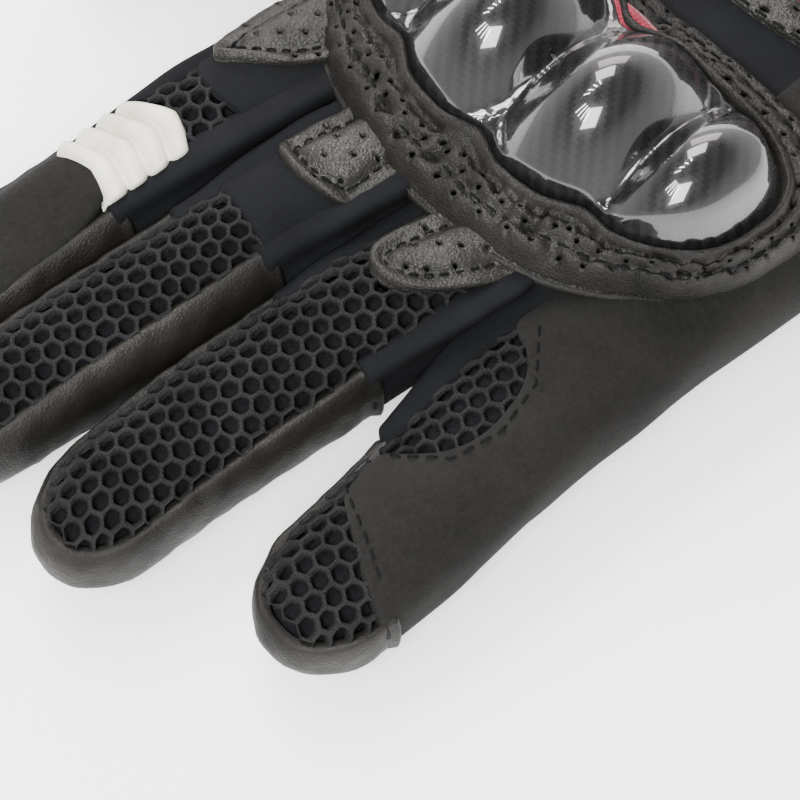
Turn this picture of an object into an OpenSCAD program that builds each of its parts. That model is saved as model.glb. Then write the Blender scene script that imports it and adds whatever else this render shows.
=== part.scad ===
// Armoured motorcycle riding glove, left hand, lying palm down.
// +X points to the thumb side, +Y to the fingertips, +Z up.
// The origin is the centre of the flat underside of the palm heel pad.

/* [Fingers] */
// Half width of the index finger tube
index_half_w = 9.2; // [8:0.1:9.4]
// Half width of the middle finger tube
middle_half_w = 9.1; // [8:0.1:9.3]
// Half width of the ring finger tube
ring_half_w = 10.3; // [8.5:0.1:10.5]
// Half width of the little finger tube at its tip
pinky_half_w = 10.6; // [8.5:0.1:11]
// Wall thickness of the finger panels
finger_wall = 1.6; // [1.2:0.1:2.2]
// Length over which a fingertip rounds off
tip_round = 13; // [9:1:16]

/* [Joints] */
// Flexion of each finger at the knuckle, degrees
mcp_flex = 70; // [40:5:75]
// Flexion of each finger at its middle joint, degrees
pip_flex = 80; // [40:5:85]
// Flexion of each finger at its end joint, degrees
dip_flex = 48; // [30:2:52]
// Wrist flexion each way, degrees
wrist_flex = 25; // [10:5:30]
// Gap left at each seam between moving panels
joint_gap = 0.35; // [0.3:0.05:0.6]

/* [Hand] */
// Wall thickness of the hand panels
hand_wall = 1.8; // [1.4:0.1:2.4]
// Y position of the wrist crease
wrist_y = -23.5; // [-30:0.5:-20]
// Length of the cuff behind the wrist crease
cuff_len = 42; // [30:1:60]
// Wall thickness of the cuff
cuff_wall = 2.6; // [2:0.1:3.5]

/* [Knuckle protector] */
// Half length of the hard shell across the knuckles
shell_half_x = 38; // [34:0.5:39]
// Half depth of the hard shell along the hand
shell_half_y = 17; // [12:0.5:18]
// Wall thickness of the hard shell
shell_wall = 1.8; // [1.2:0.1:2.5]
// Height of the foam pad that lifts the shell off the hand
pad_h = 3.4; // [2.5:0.1:5]
// Height of the tallest knuckle dome above the shell flange
dome_h = 12; // [6:0.5:14]

/* [Hidden] */

leather = [0.20, 0.19, 0.16];
perforated = [0.30, 0.29, 0.26];
stretch = [0.10, 0.11, 0.14];
mesh = [0.16, 0.17, 0.19];
suede = [0.18, 0.17, 0.16];

// Each finger: knuckle point, heading from +Y, the three lengths from knuckle
// to fingertip, then values at knuckle, middle joint, end joint and tip for the
// sideways shift, half width, centre height, half height above and below.
INDEX = [[30.5, 58], 5.5, [48, 25, 23], [0, 0, 0, 0],
  [index_half_w, index_half_w, index_half_w - 0.2, index_half_w - 0.6],
  [18.4, 17.5, 13.5, 9], [9.8, 10, 9.2, 8.2], [10.2, 10, 9, 8.5]];
MIDDLE = [[10, 63], 6.5, [47, 29, 27], [0, 0, 0, 0],
  [middle_half_w - 0.1, middle_half_w, middle_half_w, middle_half_w - 0.4],
  [19, 18, 14, 9], [11.3, 10.8, 9.6, 8.2], [10.8, 10.2, 9, 8.5]];
RING = [[-11, 59], 5, [45, 28, 28], [0, 1, 1, -1],
  [ring_half_w - 0.4, ring_half_w, ring_half_w - 0.1, ring_half_w - 0.8],
  [19, 17.5, 13.5, 9], [11.2, 10.6, 9.5, 8.2], [10.8, 10, 9, 8.5]];
PINKY = [[-32.5, 53], -1.5, [38, 26, 25], [0, 2.3, 0, -0.6],
  [10.3, 12.3, pinky_half_w + 0.6, pinky_half_w - 0.4],
  [18, 16, 12.5, 9], [10.2, 10, 9.2, 8.2], [10.4, 9.8, 9, 8.5]];

side_angle = 33;      // the side panels reach this far above and below level
seam = 1.1;           // angle left open at a seam between two panels
bulge = 0.78;         // squareness of the finger section, 1 is an ellipse
hand_bulge = 0.71;    // squareness of the hand section
joint_flex = [mcp_flex, pip_flex, dip_flex, 0];
steps_round = 7;
steps_long = 5;
tip_steps = 8;

// ---- numbers ---------------------------------------------------------------
function power_cos(a, k) = sign(cos(a)) * pow(abs(cos(a)), k);
function power_sin(a, k) = sign(sin(a)) * pow(abs(sin(a)), k);
function mix(a, b, q) = a * (1 - q) + b * q;
function along(stations, values, s) = lookup(s, [for (i = [0:len(stations) - 1])
  [stations[i], values[i]]]);

// ---- a closed sheet between an outer and an inner grid of points -------------
function flat_list(rows) = [for (row = rows) each row];
function grid_faces(nr, nc, base, flip) = [
  for (i = [0:nr - 2], j = [0:nc - 2])
    let (a = base + i * nc + j, b = a + 1, c = a + nc + 1, d = a + nc)
    each flip ? [[a, c, b], [a, d, c]] : [[a, b, c], [a, c, d]]];
function rim(nr, nc) = concat(
  [for (j = [0:nc - 2]) j],
  [for (i = [0:nr - 2]) i * nc + nc - 1],
  [for (j = [nc - 1:-1:1]) (nr - 1) * nc + j],
  [for (i = [nr - 1:-1:1]) i * nc]);
module sheet(outer, inner) {
  nr = len(outer);
  nc = len(outer[0]);
  n = nr * nc;
  loop = rim(nr, nc);
  m = len(loop);
  rims = [for (k = [0:m - 1]) let (a = loop[k], b = loop[(k + 1) % m])
    each [[b, a, a + n], [b, a + n, b + n]]];
  polyhedron(concat(flat_list(outer), flat_list(inner)),
    concat(grid_faces(nr, nc, 0, false), grid_faces(nr, nc, n, true), rims));
}
// A tube wall between an outer and an inner grid whose rows are closed rings
module ring_wall(outer, inner) {
  nr = len(outer);
  nc = len(outer[0]);
  n = nr * nc;
  walls = [for (i = [0:nr - 2], j = [0:nc - 1])
    let (a = i * nc + j, b = i * nc + (j + 1) % nc, c = b + nc, d = a + nc)
    each [[a, b, c], [a, c, d], [n + a, n + c, n + b], [n + a, n + d, n + c]]];
  ends = [for (j = [0:nc - 1])
    let (b = (j + 1) % nc, last = (nr - 1) * nc)
    each [[b, j, n + j], [b, n + j, n + b],
      [last + j, last + b, n + last + b], [last + j, n + last + b, n + last + j]]];
  polyhedron(concat(flat_list(outer), flat_list(inner)), concat(walls, ends));
}

// ---- finger surface ----------------------------------------------------------
function stations(f) = [0, f[2][0], f[2][0] + f[2][1], f[2][0] + f[2][1] + f[2][2]];
function taper(s, last) = s > last - tip_round
  ? sqrt(max(0, 1 - pow((s - last + tip_round) / tip_round, 2))) : 1;
// Point at distance s from the knuckle and angle t around the tube (0 thumb side,
// 90 top), moved inward by off
function finger_point(f, s, t, off) =
  let (st = stations(f), q = taper(s, st[3] - off),
    side = along(st, f[3], s) + (along(st, f[4], s) - off) * q * power_cos(t, bulge),
    high = along(st, t % 360 > 180 ? f[7] : f[6], s) - off,
    z = along(st, f[5], s) + high * q * power_sin(t, bulge))
  [f[0][0] + s * sin(f[1]) + side * cos(f[1]),
   f[0][1] + s * cos(f[1]) - side * sin(f[1]), z];
// How far below the joint axis the wall is at angle t, as a run along the finger
function mitre(f, k, t) = max(0, -sin(t)) == 0 ? 0
  : f[7][k] * -power_sin(t, bulge) * tan(joint_flex[k] / 2);
function span_start(f, k, t) = stations(f)[k] + joint_gap + mitre(f, k, t);
function span_end(f, k, t) = k == 2 ? stations(f)[3] - 0.4
  : stations(f)[k + 1] - joint_gap - mitre(f, k + 1, t);
// A panel of one segment between two angles, lifted by rise; cut is [start, end]
// distances that replace the segment's own ends where they aren't undef
module finger_panel(f, k, t0, t1, rise = 0, wall = finger_wall, cut = [undef, undef],
    nt = steps_round) {
  ns = k == 2 ? tip_steps : steps_long;
  function rows(off) = [for (i = [0:ns]) [for (j = [0:nt])
    let (t = mix(t0, t1, j / nt), v = k == 2 ? sin(90 * i / ns) : i / ns,
      a = is_undef(cut[0]) ? span_start(f, k, t) : cut[0],
      b = is_undef(cut[1]) ? span_end(f, k, t) : cut[1],
      back = k == 2 ? max(0, off) * v : 0)
    finger_point(f, mix(a, b, v) - back, t + 360, off)]];
  sheet(rows(-rise), rows(wall - rise));
}
module back(f, k, cut = [undef, undef]) {
  finger_panel(f, k, side_angle + seam, 180 - side_angle - seam, cut = cut);
}
module sides(f, k) {
  finger_panel(f, k, -side_angle, side_angle, nt = 4);
  finger_panel(f, k, 180 - side_angle, 180 + side_angle, nt = 4);
}
module under(f, k) {
  finger_panel(f, k, 180 + side_angle + seam, 360 - side_angle - seam);
}

module index_base_back() { color(stretch) back(INDEX, 0); }
module index_base_sides() { color(stretch) sides(INDEX, 0); }
module index_base_palm() { color(leather) under(INDEX, 0); }
module index_mid_back() { color(suede) back(INDEX, 1, [stations(INDEX)[1] + accordion_len, undef]); }
module index_mid_sides() { color(leather) sides(INDEX, 1); }
module index_mid_palm() { color(leather) under(INDEX, 1); }
module index_tip_back() { color(suede) back(INDEX, 2); }
module index_tip_sides() { color(leather) sides(INDEX, 2); }
module index_tip_palm() { color(leather) under(INDEX, 2); }

module middle_base_back() { color(mesh) back(MIDDLE, 0); }
module middle_base_sides() { color(stretch) sides(MIDDLE, 0); }
module middle_base_palm() { color(leather) under(MIDDLE, 0); }
module middle_mid_back() { color(mesh) back(MIDDLE, 1); }
module middle_mid_sides() { color(leather) sides(MIDDLE, 1); }
module middle_mid_palm() { color(leather) under(MIDDLE, 1); }
module middle_tip_back() { color(mesh) back(MIDDLE, 2); }
module middle_tip_sides() { color(leather) sides(MIDDLE, 2); }
module middle_tip_palm() { color(leather) under(MIDDLE, 2); }

module ring_base_back() { color(mesh) back(RING, 0); }
module ring_base_sides() { color(stretch) sides(RING, 0); }
module ring_base_palm() { color(leather) under(RING, 0); }
module ring_mid_back() { color(mesh) back(RING, 1); }
module ring_mid_sides() { color(leather) sides(RING, 1); }
module ring_mid_palm() { color(leather) under(RING, 1); }
module ring_tip_back() { color(mesh) back(RING, 2); }
module ring_tip_sides() { color(leather) sides(RING, 2); }
module ring_tip_palm() { color(leather) under(RING, 2); }

module pinky_base_back() { color(mesh) back(PINKY, 0); }
module pinky_base_sides() { color(suede) sides(PINKY, 0); }
module pinky_base_palm() { color(leather) under(PINKY, 0); }
module pinky_mid_back() { color(suede) back(PINKY, 1); }
module pinky_mid_sides() { color(suede) sides(PINKY, 1); }
module pinky_mid_palm() { color(leather) under(PINKY, 1); }
module pinky_tip_back() { color(mesh) back(PINKY, 2); }
module pinky_tip_sides() { color(leather) sides(PINKY, 2); }
module pinky_tip_palm() { color(leather) under(PINKY, 2); }

// Pleated insert over the index finger's middle joint
accordion_len = 12;
module index_accordion() {
  color([0.9, 0.9, 0.85])
    finger_panel(INDEX, 1, side_angle + seam, 180 - side_angle - seam, rise = 0.5,
      cut = [stations(INDEX)[1] + joint_gap, stations(INDEX)[1] + accordion_len - 0.3]);
}
// Leather tongue that runs from under the protector onto the finger
module flap(f, start, end) {
  color(perforated)
    finger_panel(f, 0, 52, 128, rise = 1.5, wall = 1.3, cut = [start, end]);
}
module index_flap() { flap(INDEX, 27, 40); }
module middle_flap() { flap(MIDDLE, 23, 38); }
module ring_flap() { flap(RING, 24, 40); }

// ---- hand surface ------------------------------------------------------------
HAND_Y = [-70, -22, 5, 30, 58];
HAND_X = [0, 0, 1, -0.5, -1.5];
HAND_W = [35, 33, 39.5, 43.5, 42.5];
HAND_Z = [16, 16, 17, 17.8, 19];
HAND_UP = [14.5, 14, 14.5, 13.8, 12];
HAND_DOWN = [13, 12, 14.4, 14, 11];
function hand_point(y, t, off) =
  let (tt = (t + 360) % 360,
    high = along(HAND_Y, tt > 180 ? HAND_DOWN : HAND_UP, y) - off)
  [along(HAND_Y, HAND_X, y) + (along(HAND_Y, HAND_W, y) - off) * power_cos(tt, hand_bulge),
   y, along(HAND_Y, HAND_Z, y) + high * power_sin(tt, hand_bulge)];
// Front edge of the hand panels: a line through the knuckles, less the room
// that the flexed fingers need on the palm side
function knuckle_y(x) = lookup(x, [[-44, 50.6], [-32.5, 52.7], [-11, 58], [0, 58.5], [10, 62], [30.5, 57.5],
  [44, 55]]);
function hand_front(t) =
  let (p = hand_point(56, t, 0), low = max(0, 19 - p[2]))
  knuckle_y(p[0]) - joint_gap - 0.3 - low * tan(mcp_flex / 2);
function hand_rear(t) =
  let (p = hand_point(wrist_y, t, 0))
  wrist_y + joint_gap + abs(p[2] - wrist_z) * tan(wrist_flex / 2);
wrist_z = 16;

module hand_panel(t0, t1, nt, y0 = undef, y1 = undef, rise = 0, wall = hand_wall, ny = 9) {
  function rows(off) = [for (i = [0:ny]) [for (j = [0:nt])
    let (t = mix(t0, t1, j / nt),
      a = is_undef(y0) ? hand_rear(t) : y0,
      b = is_undef(y1) ? hand_front(t) : y1)
    hand_point(mix(a, b, i / ny), t, off)]];
  sheet(rows(-rise), rows(wall - rise));
}
hand_seam = 0.5;
back_angle = 25;
module hand_back_panel() {
  color(stretch) hand_panel(back_angle + hand_seam, 180 - back_angle - hand_seam, 18);
}
module palm_panel() {
  color(leather) hand_panel(180 + back_angle + hand_seam, 360 - back_angle - hand_seam, 18);
}
module outer_side_panel() {
  color(suede) hand_panel(180 - back_angle, 180 + back_angle, 8);
}
// The thumb side is two pieces, before and behind the mouth of the thumb gusset
gusset_y = 17;
gusset_half = 21;
module thumb_side_panel() {
  color(stretch) {
    hand_panel(-back_angle, back_angle, 8, y0 = gusset_y + gusset_half + 1, ny = 4);
    hand_panel(-back_angle, back_angle, 8, y1 = gusset_y - gusset_half - 1, ny = 4);
  }
}
// Bottom of the glove, flat underneath
module palm_heel_pad() {
  color(leather) linear_extrude(height = 2)
    offset(r = 8) square([26, 14], center = true);
}

// ---- thumb -------------------------------------------------------------------
THUMB = [54.5, 34.5, 15.5];
thumb_heading = 28;
thumb_len = [32, 30];
thumb_flex = [40, 45];
THUMB_W = [11, 10.5, 9.6];
THUMB_H = [9.8, 9.4, 8.6];
THUMB_Z = [15.5, 13.5, 10.5];
function thumb_point(s, t, off) =
  let (st = [0, thumb_len[0], thumb_len[0] + thumb_len[1]], q = taper(s, st[2] - off),
    side = (along(st, THUMB_W, s) - off) * q * power_cos(t, bulge),
    z = along(st, THUMB_Z, s) + (along(st, THUMB_H, s) - off) * q * power_sin(t, bulge))
  [THUMB[0] + s * sin(thumb_heading) + side * cos(thumb_heading),
   THUMB[1] + s * cos(thumb_heading) - side * sin(thumb_heading), z];
// The thumb flexes downward and a little inward, so its mitre is on that side
inward = 0.3;
function thumb_mitre(k, t) = max(0, THUMB_W[k] * -power_cos(t, bulge) * inward
  - THUMB_H[k] * power_sin(t, bulge) * sqrt(1 - inward * inward)) * tan(thumb_flex[k] / 2);
module thumb_panel(k, t0, t1) {
  nt = 10;
  ns = k == 1 ? tip_steps : steps_long;
  total = thumb_len[0] + thumb_len[1];
  function rows(off) = [for (i = [0:ns]) [for (j = [0:nt])
    let (t = mix(t0, t1, j / nt), v = k == 1 ? sin(90 * i / ns) : i / ns,
      a = (k == 0 ? 0 : thumb_len[0]) + joint_gap + thumb_mitre(k, t),
      b = k == 1 ? total - 0.4 - off * v : thumb_len[0] - joint_gap - thumb_mitre(1, t))
    thumb_point(mix(a, b, v), (t + 360) % 360, off)]];
  sheet(rows(0), rows(finger_wall));
}
module thumb_base_back() { color(stretch) thumb_panel(0, 0.6, 179.4); }
module thumb_base_palm() { color(leather) thumb_panel(0, 180.6, 359.4); }
module thumb_tip_back() { color(suede) thumb_panel(1, 0.6, 179.4); }
module thumb_tip_palm() { color(leather) thumb_panel(1, 180.6, 359.4); }
module thumb_gusset() {
  nc = 24;
  ns = 5;
  function mouth(t, off) = [41.8, gusset_y - (gusset_half - off) * power_cos(t, bulge),
    16.2 + (7.6 - off) * power_sin(t, bulge)];
  function rows(off) = [for (i = [0:ns]) [for (j = [0:nc - 1])
    let (t = 360 * j / nc, p = mouth(t, off), s = -joint_gap - thumb_mitre(0, t),
      q = thumb_point(s, t, off))
    p * (1 - i / ns) + q * (i / ns)]];
  color(leather) ring_wall(rows(0), rows(finger_wall));
}

// ---- knuckle protector ---------------------------------------------------------
shell_x = 2;
// Middle line of the shell, following the arc of the knuckles
function arc_y(x) = 59.2 - pow((x - 10) / 46, 2) * 8;
// Top of the glove under the protector
function glove_top(x) = 19 + 13 * pow(max(0.02, 1 - pow(abs(x + 1.5) / 44, 2.8)), 0.357);
// Plan point at fraction r of the outline and angle a, grown outward by grow
function plan(r, a, grow) =
  let (x = shell_x + (shell_half_x * r + grow) * power_cos(a, 0.72))
  [x, arc_y(x) + (shell_half_y * r + grow) * power_sin(a, 0.72)];
// The four domes: centre x, offset from the arc, half width, half depth, height share
DOMES = [[-27, 0, 10.5, 15, 0.85], [-9.5, 0, 12, 16, 1], [11.5, 1, 12, 15.5, 0.95],
  [30, 0, 10, 14, 0.8]];
function dome(d, p) = let (g = pow((p[0] - d[0]) / d[2], 2)
    + pow((p[1] - arc_y(d[0]) - d[1]) / d[3], 2))
  g < 1 ? dome_h * d[4] * pow(1 - g, 0.9) : 0;
function shell_z(p) = glove_top(p[0]) + 0.5 + pad_h + max([for (d = DOMES) dome(d, p)]);
module knuckle_shell() {
  nr = 12;
  nc = 72;
  function rows(drop) = [for (i = [nr:-1:1]) [for (j = [0:nc - 1])
    let (p = plan(i / nr, 360 * j / nc, 0)) [p[0], p[1], shell_z(p) + drop]]];
  function apex(drop) = let (p = [shell_x, arc_y(shell_x)]) [p[0], p[1], shell_z(p) + drop];
  n = nr * nc;
  walls = [for (i = [0:nr - 2], j = [0:nc - 1])
    let (a = i * nc + j, b = i * nc + (j + 1) % nc, c = b + nc, d = a + nc)
    each [[a, c, b], [a, d, c], [n + a, n + b, n + c], [n + a, n + c, n + d]]];
  caps = [for (j = [0:nc - 1]) let (a = (nr - 1) * nc + j, b = (nr - 1) * nc + (j + 1) % nc)
    each [[a, 2 * n, b], [n + a, n + b, 2 * n + 1]]];
  edge = [for (j = [0:nc - 1]) let (b = (j + 1) % nc)
    each [[j, b, n + b], [j, n + b, n + j]]];
  color([0.12, 0.12, 0.13])
    polyhedron(concat(flat_list(rows(shell_wall)), flat_list(rows(0)),
      [apex(shell_wall), apex(0)]), concat(walls, caps, edge));
}
// Ring of foam under the shell flange
module protector_pad() {
  nc = 48;
  function loop(r, z) = [for (j = [0:nc - 1])
    let (p = plan(1, 360 * j / nc, r)) [p[0], p[1], glove_top(p[0]) + z]];
  color([0.15, 0.15, 0.15])
    ring_wall([loop(-6, pad_h + 0.3), loop(-0.5, pad_h + 0.3)], [loop(-6, 0.6), loop(-0.5, 0.6)]);
}
// Rolled leather border round the shell
module protector_surround() {
  nc = 64;
  ns = 8;
  roll_w = 3.6;
  roll_h = 2.2;
  function loop(a) = [for (j = [0:nc - 1])
    let (p = plan(1, 360 * j / nc, 0.4 + roll_w + roll_w * cos(a)))
    [p[0], p[1], glove_top(p[0]) + 0.5 + roll_h + roll_h * sin(a)]];
  pts = flat_list([for (k = [0:ns - 1]) loop(360 * k / ns)]);
  faces = [for (k = [0:ns - 1], j = [0:nc - 1])
    let (a = k * nc + j, b = k * nc + (j + 1) % nc,
      d = ((k + 1) % ns) * nc + j, c = ((k + 1) % ns) * nc + (j + 1) % nc)
    each [[a, c, b], [a, d, c]]];
  color(perforated) polyhedron(pts, faces);
}
// Small wedge of coloured padding in the rear notch between two domes
module red_insert() {
  color([0.6, 0.15, 0.2])
    translate([1.8, arc_y(1.8) - 15, glove_top(1.8) + 0.5 + pad_h + shell_wall + 0.45])
      linear_extrude(height = 1.2) offset(r = 0.8) polygon([[-3.2, -0.6], [3.2, -0.6], [0, 1]]);
}
// Curved leather strip sewn across the back behind the protector
module rear_leather_band() {
  function front(t) = let (p = hand_point(25, t, 0)) 29 - pow((p[0] - 10) / 46, 2) * 14;
  function rows(off) = [for (i = [0:2]) [for (j = [0:14])
    let (t = mix(back_angle + 7, 175 - back_angle, j / 14))
    hand_point(front(t) - 7 + 3.5 * i, t, off)]];
  color(perforated) sheet(rows(-1.6), rows(-0.2));
}

// ---- cuff and strap --------------------------------------------------------------
cuff_end = wrist_y - cuff_len;
module cuff_shell() {
  nc = 40;
  ns = 6;
  function rows(off) = [for (i = [0:ns]) [for (j = [0:nc - 1])
    let (t = 360 * j / nc,
      top = wrist_y - joint_gap - abs(hand_point(wrist_y, t, 0)[2] - wrist_z) * tan(wrist_flex / 2))
    hand_point(mix(cuff_end, top, i / ns), t, off)]];
  color(stretch) ring_wall(rows(0), rows(cuff_wall));
}
strap_y0 = -59;
strap_y1 = -35;
strap_root = 48;
strap_tip = 128;
module cuff_patch(t0, t1, y0, y1, low, high) {
  hand_panel(t0, t1, 10, y0 = y0, y1 = y1, rise = high, wall = high - low, ny = 3);
}
module loop_patch() {
  color([0.1, 0.1, 0.1])
    cuff_patch(88, strap_tip, strap_y0 + 1, strap_y1 - 1, 0.1, 0.9);
}
module hook_patch() {
  color([0.12, 0.12, 0.12])
    cuff_patch(100, strap_tip - 2, strap_y0 + 2, strap_y1 - 2, 1.2, 2);
}
module closure_strap() {
  color(leather) cuff_patch(strap_root, strap_tip, strap_y0, strap_y1, 2.1, 4);
}
module pull_tab() {
  color([0.15, 0.15, 0.15])
    cuff_patch(strap_tip - 14, strap_tip + 5, strap_y0 + 5, strap_y1 - 5, 4.1, 5.6);
}

index_base_back();
index_base_sides();
index_base_palm();
index_mid_back();
index_mid_sides();
index_mid_palm();
index_tip_back();
index_tip_sides();
index_tip_palm();
middle_base_back();
middle_base_sides();
middle_base_palm();
middle_mid_back();
middle_mid_sides();
middle_mid_palm();
middle_tip_back();
middle_tip_sides();
middle_tip_palm();
ring_base_back();
ring_base_sides();
ring_base_palm();
ring_mid_back();
ring_mid_sides();
ring_mid_palm();
ring_tip_back();
ring_tip_sides();
ring_tip_palm();
pinky_base_back();
pinky_base_sides();
pinky_base_palm();
pinky_mid_back();
pinky_mid_sides();
pinky_mid_palm();
pinky_tip_back();
pinky_tip_sides();
pinky_tip_palm();
index_accordion();
index_flap();
middle_flap();
ring_flap();
thumb_base_back();
thumb_base_palm();
thumb_tip_back();
thumb_tip_palm();
hand_back_panel();
palm_panel();
outer_side_panel();
thumb_side_panel();
thumb_gusset();
palm_heel_pad();
knuckle_shell();
protector_pad();
protector_surround();
red_insert();
rear_leather_band();
cuff_shell();
loop_patch();
closure_strap();
hook_patch();
pull_tab();
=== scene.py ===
import math

import bpy
import numpy as np
from mathutils import Matrix, Vector
from mathutils.geometry import delaunay_2d_cdt


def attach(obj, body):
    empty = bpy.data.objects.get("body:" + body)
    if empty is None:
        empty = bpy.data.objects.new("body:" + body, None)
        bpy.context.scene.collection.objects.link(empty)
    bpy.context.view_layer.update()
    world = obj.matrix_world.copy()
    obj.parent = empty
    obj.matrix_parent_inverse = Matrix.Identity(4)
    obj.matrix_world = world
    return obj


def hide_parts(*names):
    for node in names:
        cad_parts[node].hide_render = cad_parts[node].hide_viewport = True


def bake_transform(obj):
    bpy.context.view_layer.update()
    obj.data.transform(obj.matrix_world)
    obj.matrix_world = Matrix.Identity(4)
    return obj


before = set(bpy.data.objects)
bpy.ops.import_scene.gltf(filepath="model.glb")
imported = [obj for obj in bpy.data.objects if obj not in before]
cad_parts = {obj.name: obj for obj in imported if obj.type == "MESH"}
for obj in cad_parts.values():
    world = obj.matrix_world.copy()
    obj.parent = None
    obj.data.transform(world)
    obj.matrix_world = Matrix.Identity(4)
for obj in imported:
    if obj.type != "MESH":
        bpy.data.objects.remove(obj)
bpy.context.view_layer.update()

# All shapes are worked out in millimetres in the CAD frame and written in metres.
MM = 0.001


# ---- camera -------------------------------------------------------------------
# Long lens from over the little finger, fingers to the lower left of the picture.
CAMERA_AT = (-0.2979, 0.3260, 0.7478)
CAMERA_RIGHT = (-0.6216, -0.7833, 0.0)
CAMERA_UP = (0.7040, -0.5587, 0.4384)
CAMERA_LENS = 244.9


def make_camera():
    data = bpy.data.cameras.new("camera")
    data.lens = CAMERA_LENS
    data.sensor_width = 36
    data.clip_end = 20
    camera = bpy.data.objects.new("camera", data)
    right, up = Vector(CAMERA_RIGHT).normalized(), Vector(CAMERA_UP).normalized()
    turn = Matrix((right, up, right.cross(up))).transposed()
    camera.matrix_world = Matrix.Translation(CAMERA_AT) @ turn.to_4x4()
    bpy.context.collection.objects.link(camera)
    bpy.context.scene.camera = camera


make_camera()


# ---- repeatable smooth noise ----------------------------------------------------
def waves(p, size, seed, count=10, along=None):
    """Smooth noise of about -1 to 1 at points p in mm, with features about size mm across."""
    rng = np.random.default_rng(seed)
    total = np.zeros(len(p))
    for _ in range(count):
        way = rng.normal(size=3)
        if along is not None:
            way = way * along
        way = way / np.linalg.norm(way)
        turn = 2 * math.pi / size * rng.uniform(0.6, 1.5)
        total += np.sin(p @ way * turn + rng.uniform(0, 2 * math.pi))
    return total / math.sqrt(count) / 1.3


def creases(p, size, seed, along=None):
    """Sharp-bottomed folds: 0 in a fold, 1 between folds."""
    return np.clip(np.abs(waves(p, size, seed, 7, along)) * 2.2, 0, 1) ** 0.6


def smooth(x):
    x = np.clip(x, 0, 1)
    return x * x * (3 - 2 * x)


def spread(x, stations, values, window=5.0):
    """Linear interpolation with its corners rounded over the window, in mm."""
    x = np.asarray(x, float)
    shifts = (-1, -0.5, 0, 0.5, 1)
    return sum(np.interp(x + window * k, stations, values) for k in shifts) / len(shifts)


def power(x, k):
    return np.sign(x) * np.abs(x) ** k


def bell(x, at, width):
    return np.exp(-((x - at) / width) ** 2)


def flat(u, v):
    """Points (u, v, 0), at which the noise of a panel is read."""
    return np.stack([u, v, v * 0], 1)


def matched(*values):
    return np.broadcast_arrays(*[np.asarray(value, float) for value in values])


def run_along(path):
    """Distance along a path at each of its points."""
    return np.concatenate([[0], np.cumsum(np.linalg.norm(np.diff(path, axis=0), axis=1))])


def share_steps(count, *more):
    """Even steps from 0 to 1, with a few more for the turned edges."""
    return np.unique(np.concatenate([np.linspace(0, 1, count), more]))


def full_turn(count):
    """Even angles in degrees once round."""
    return np.linspace(0, 360, count + 1)[:-1]


def cosd(t):
    return np.cos(np.radians(t))


def sind(t):
    return np.sin(np.radians(t))


# ---- materials --------------------------------------------------------------------
def ramp_node(nodes, links, value, stops):
    node = nodes.new("ShaderNodeValToRGB")
    ramp = node.color_ramp
    while len(ramp.elements) < len(stops):
        ramp.elements.new(0.5)
    for element, (at, color) in zip(ramp.elements, stops):
        element.position = at
        element.color = (*color, 1)
    links.new(value, node.inputs["Fac"])
    return node.outputs[0]


class Paint:
    """A procedural material being built, in object coordinates."""

    def __init__(self, name):
        self.material = bpy.data.materials.new(name)
        self.material.use_nodes = True
        self.nodes = self.material.node_tree.nodes
        self.links = self.material.node_tree.links
        self.nodes.clear()
        out = self.nodes.new("ShaderNodeOutputMaterial")
        self.shader = self.nodes.new("ShaderNodeBsdfPrincipled")
        self.links.new(self.shader.outputs[0], out.inputs[0])
        self.where = self.nodes.new("ShaderNodeTexCoord").outputs["Object"]

    def noise(self, scale, detail=4, rough=0.6):
        node = self.nodes.new("ShaderNodeTexNoise")
        node.inputs["Scale"].default_value = scale
        node.inputs["Detail"].default_value = detail
        node.inputs["Roughness"].default_value = rough
        self.links.new(self.where, node.inputs["Vector"])
        return node.outputs["Fac"]

    def math(self, kind, *values):
        node = self.nodes.new("ShaderNodeMath")
        node.operation = kind
        for slot, value in zip(node.inputs, values):
            if isinstance(value, (int, float)):
                slot.default_value = value
            else:
                self.links.new(value, slot)
        return node.outputs[0]

    def ramp(self, socket, value, *stops):
        """Links a ramp over value to a socket of the shader."""
        self.links.new(ramp_node(self.nodes, self.links, value, stops), self.shader.inputs[socket])

    def bump(self, height, strength, distance, under=None):
        node = self.nodes.new("ShaderNodeBump")
        node.inputs["Strength"].default_value = strength
        node.inputs["Distance"].default_value = distance
        self.links.new(height, node.inputs["Height"])
        if under is not None:
            self.links.new(under.outputs[0], node.inputs["Normal"])
        self.links.new(node.outputs[0], self.shader.inputs["Normal"])
        return node

    def uniform(self, values):
        for socket, value in values.items():
            self.shader.inputs[socket].default_value = value


def leather(name, dark, light, grain, roughness, bump, specular=0.5):
    """Leather with a pebbled grain, fine creases and worn lighter high spots."""
    paint = Paint(name)
    broad = paint.noise(70, 5)
    paint.ramp("Base Color", broad, (0.32, dark), (0.70, light))
    fine = paint.noise(grain * 2.2, 3)
    low, high = roughness
    paint.ramp("Roughness", broad, (0.3, (high,) * 3), (0.75, (low,) * 3))
    pebble = paint.nodes.new("ShaderNodeTexVoronoi")
    pebble.feature = "DISTANCE_TO_EDGE"
    pebble.inputs["Scale"].default_value = grain
    paint.links.new(paint.where, pebble.inputs["Vector"])
    cell = paint.math("MULTIPLY", paint.math("MINIMUM", pebble.outputs["Distance"], 0.22), 3.0)
    first = paint.bump(paint.math("MULTIPLY_ADD", fine, 0.45, cell), bump, 0.00018)
    paint.bump(paint.noise(260, 6, 0.65), 0.45, 0.0006, first)
    paint.uniform({"Specular IOR Level": specular})
    return paint.material


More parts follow.
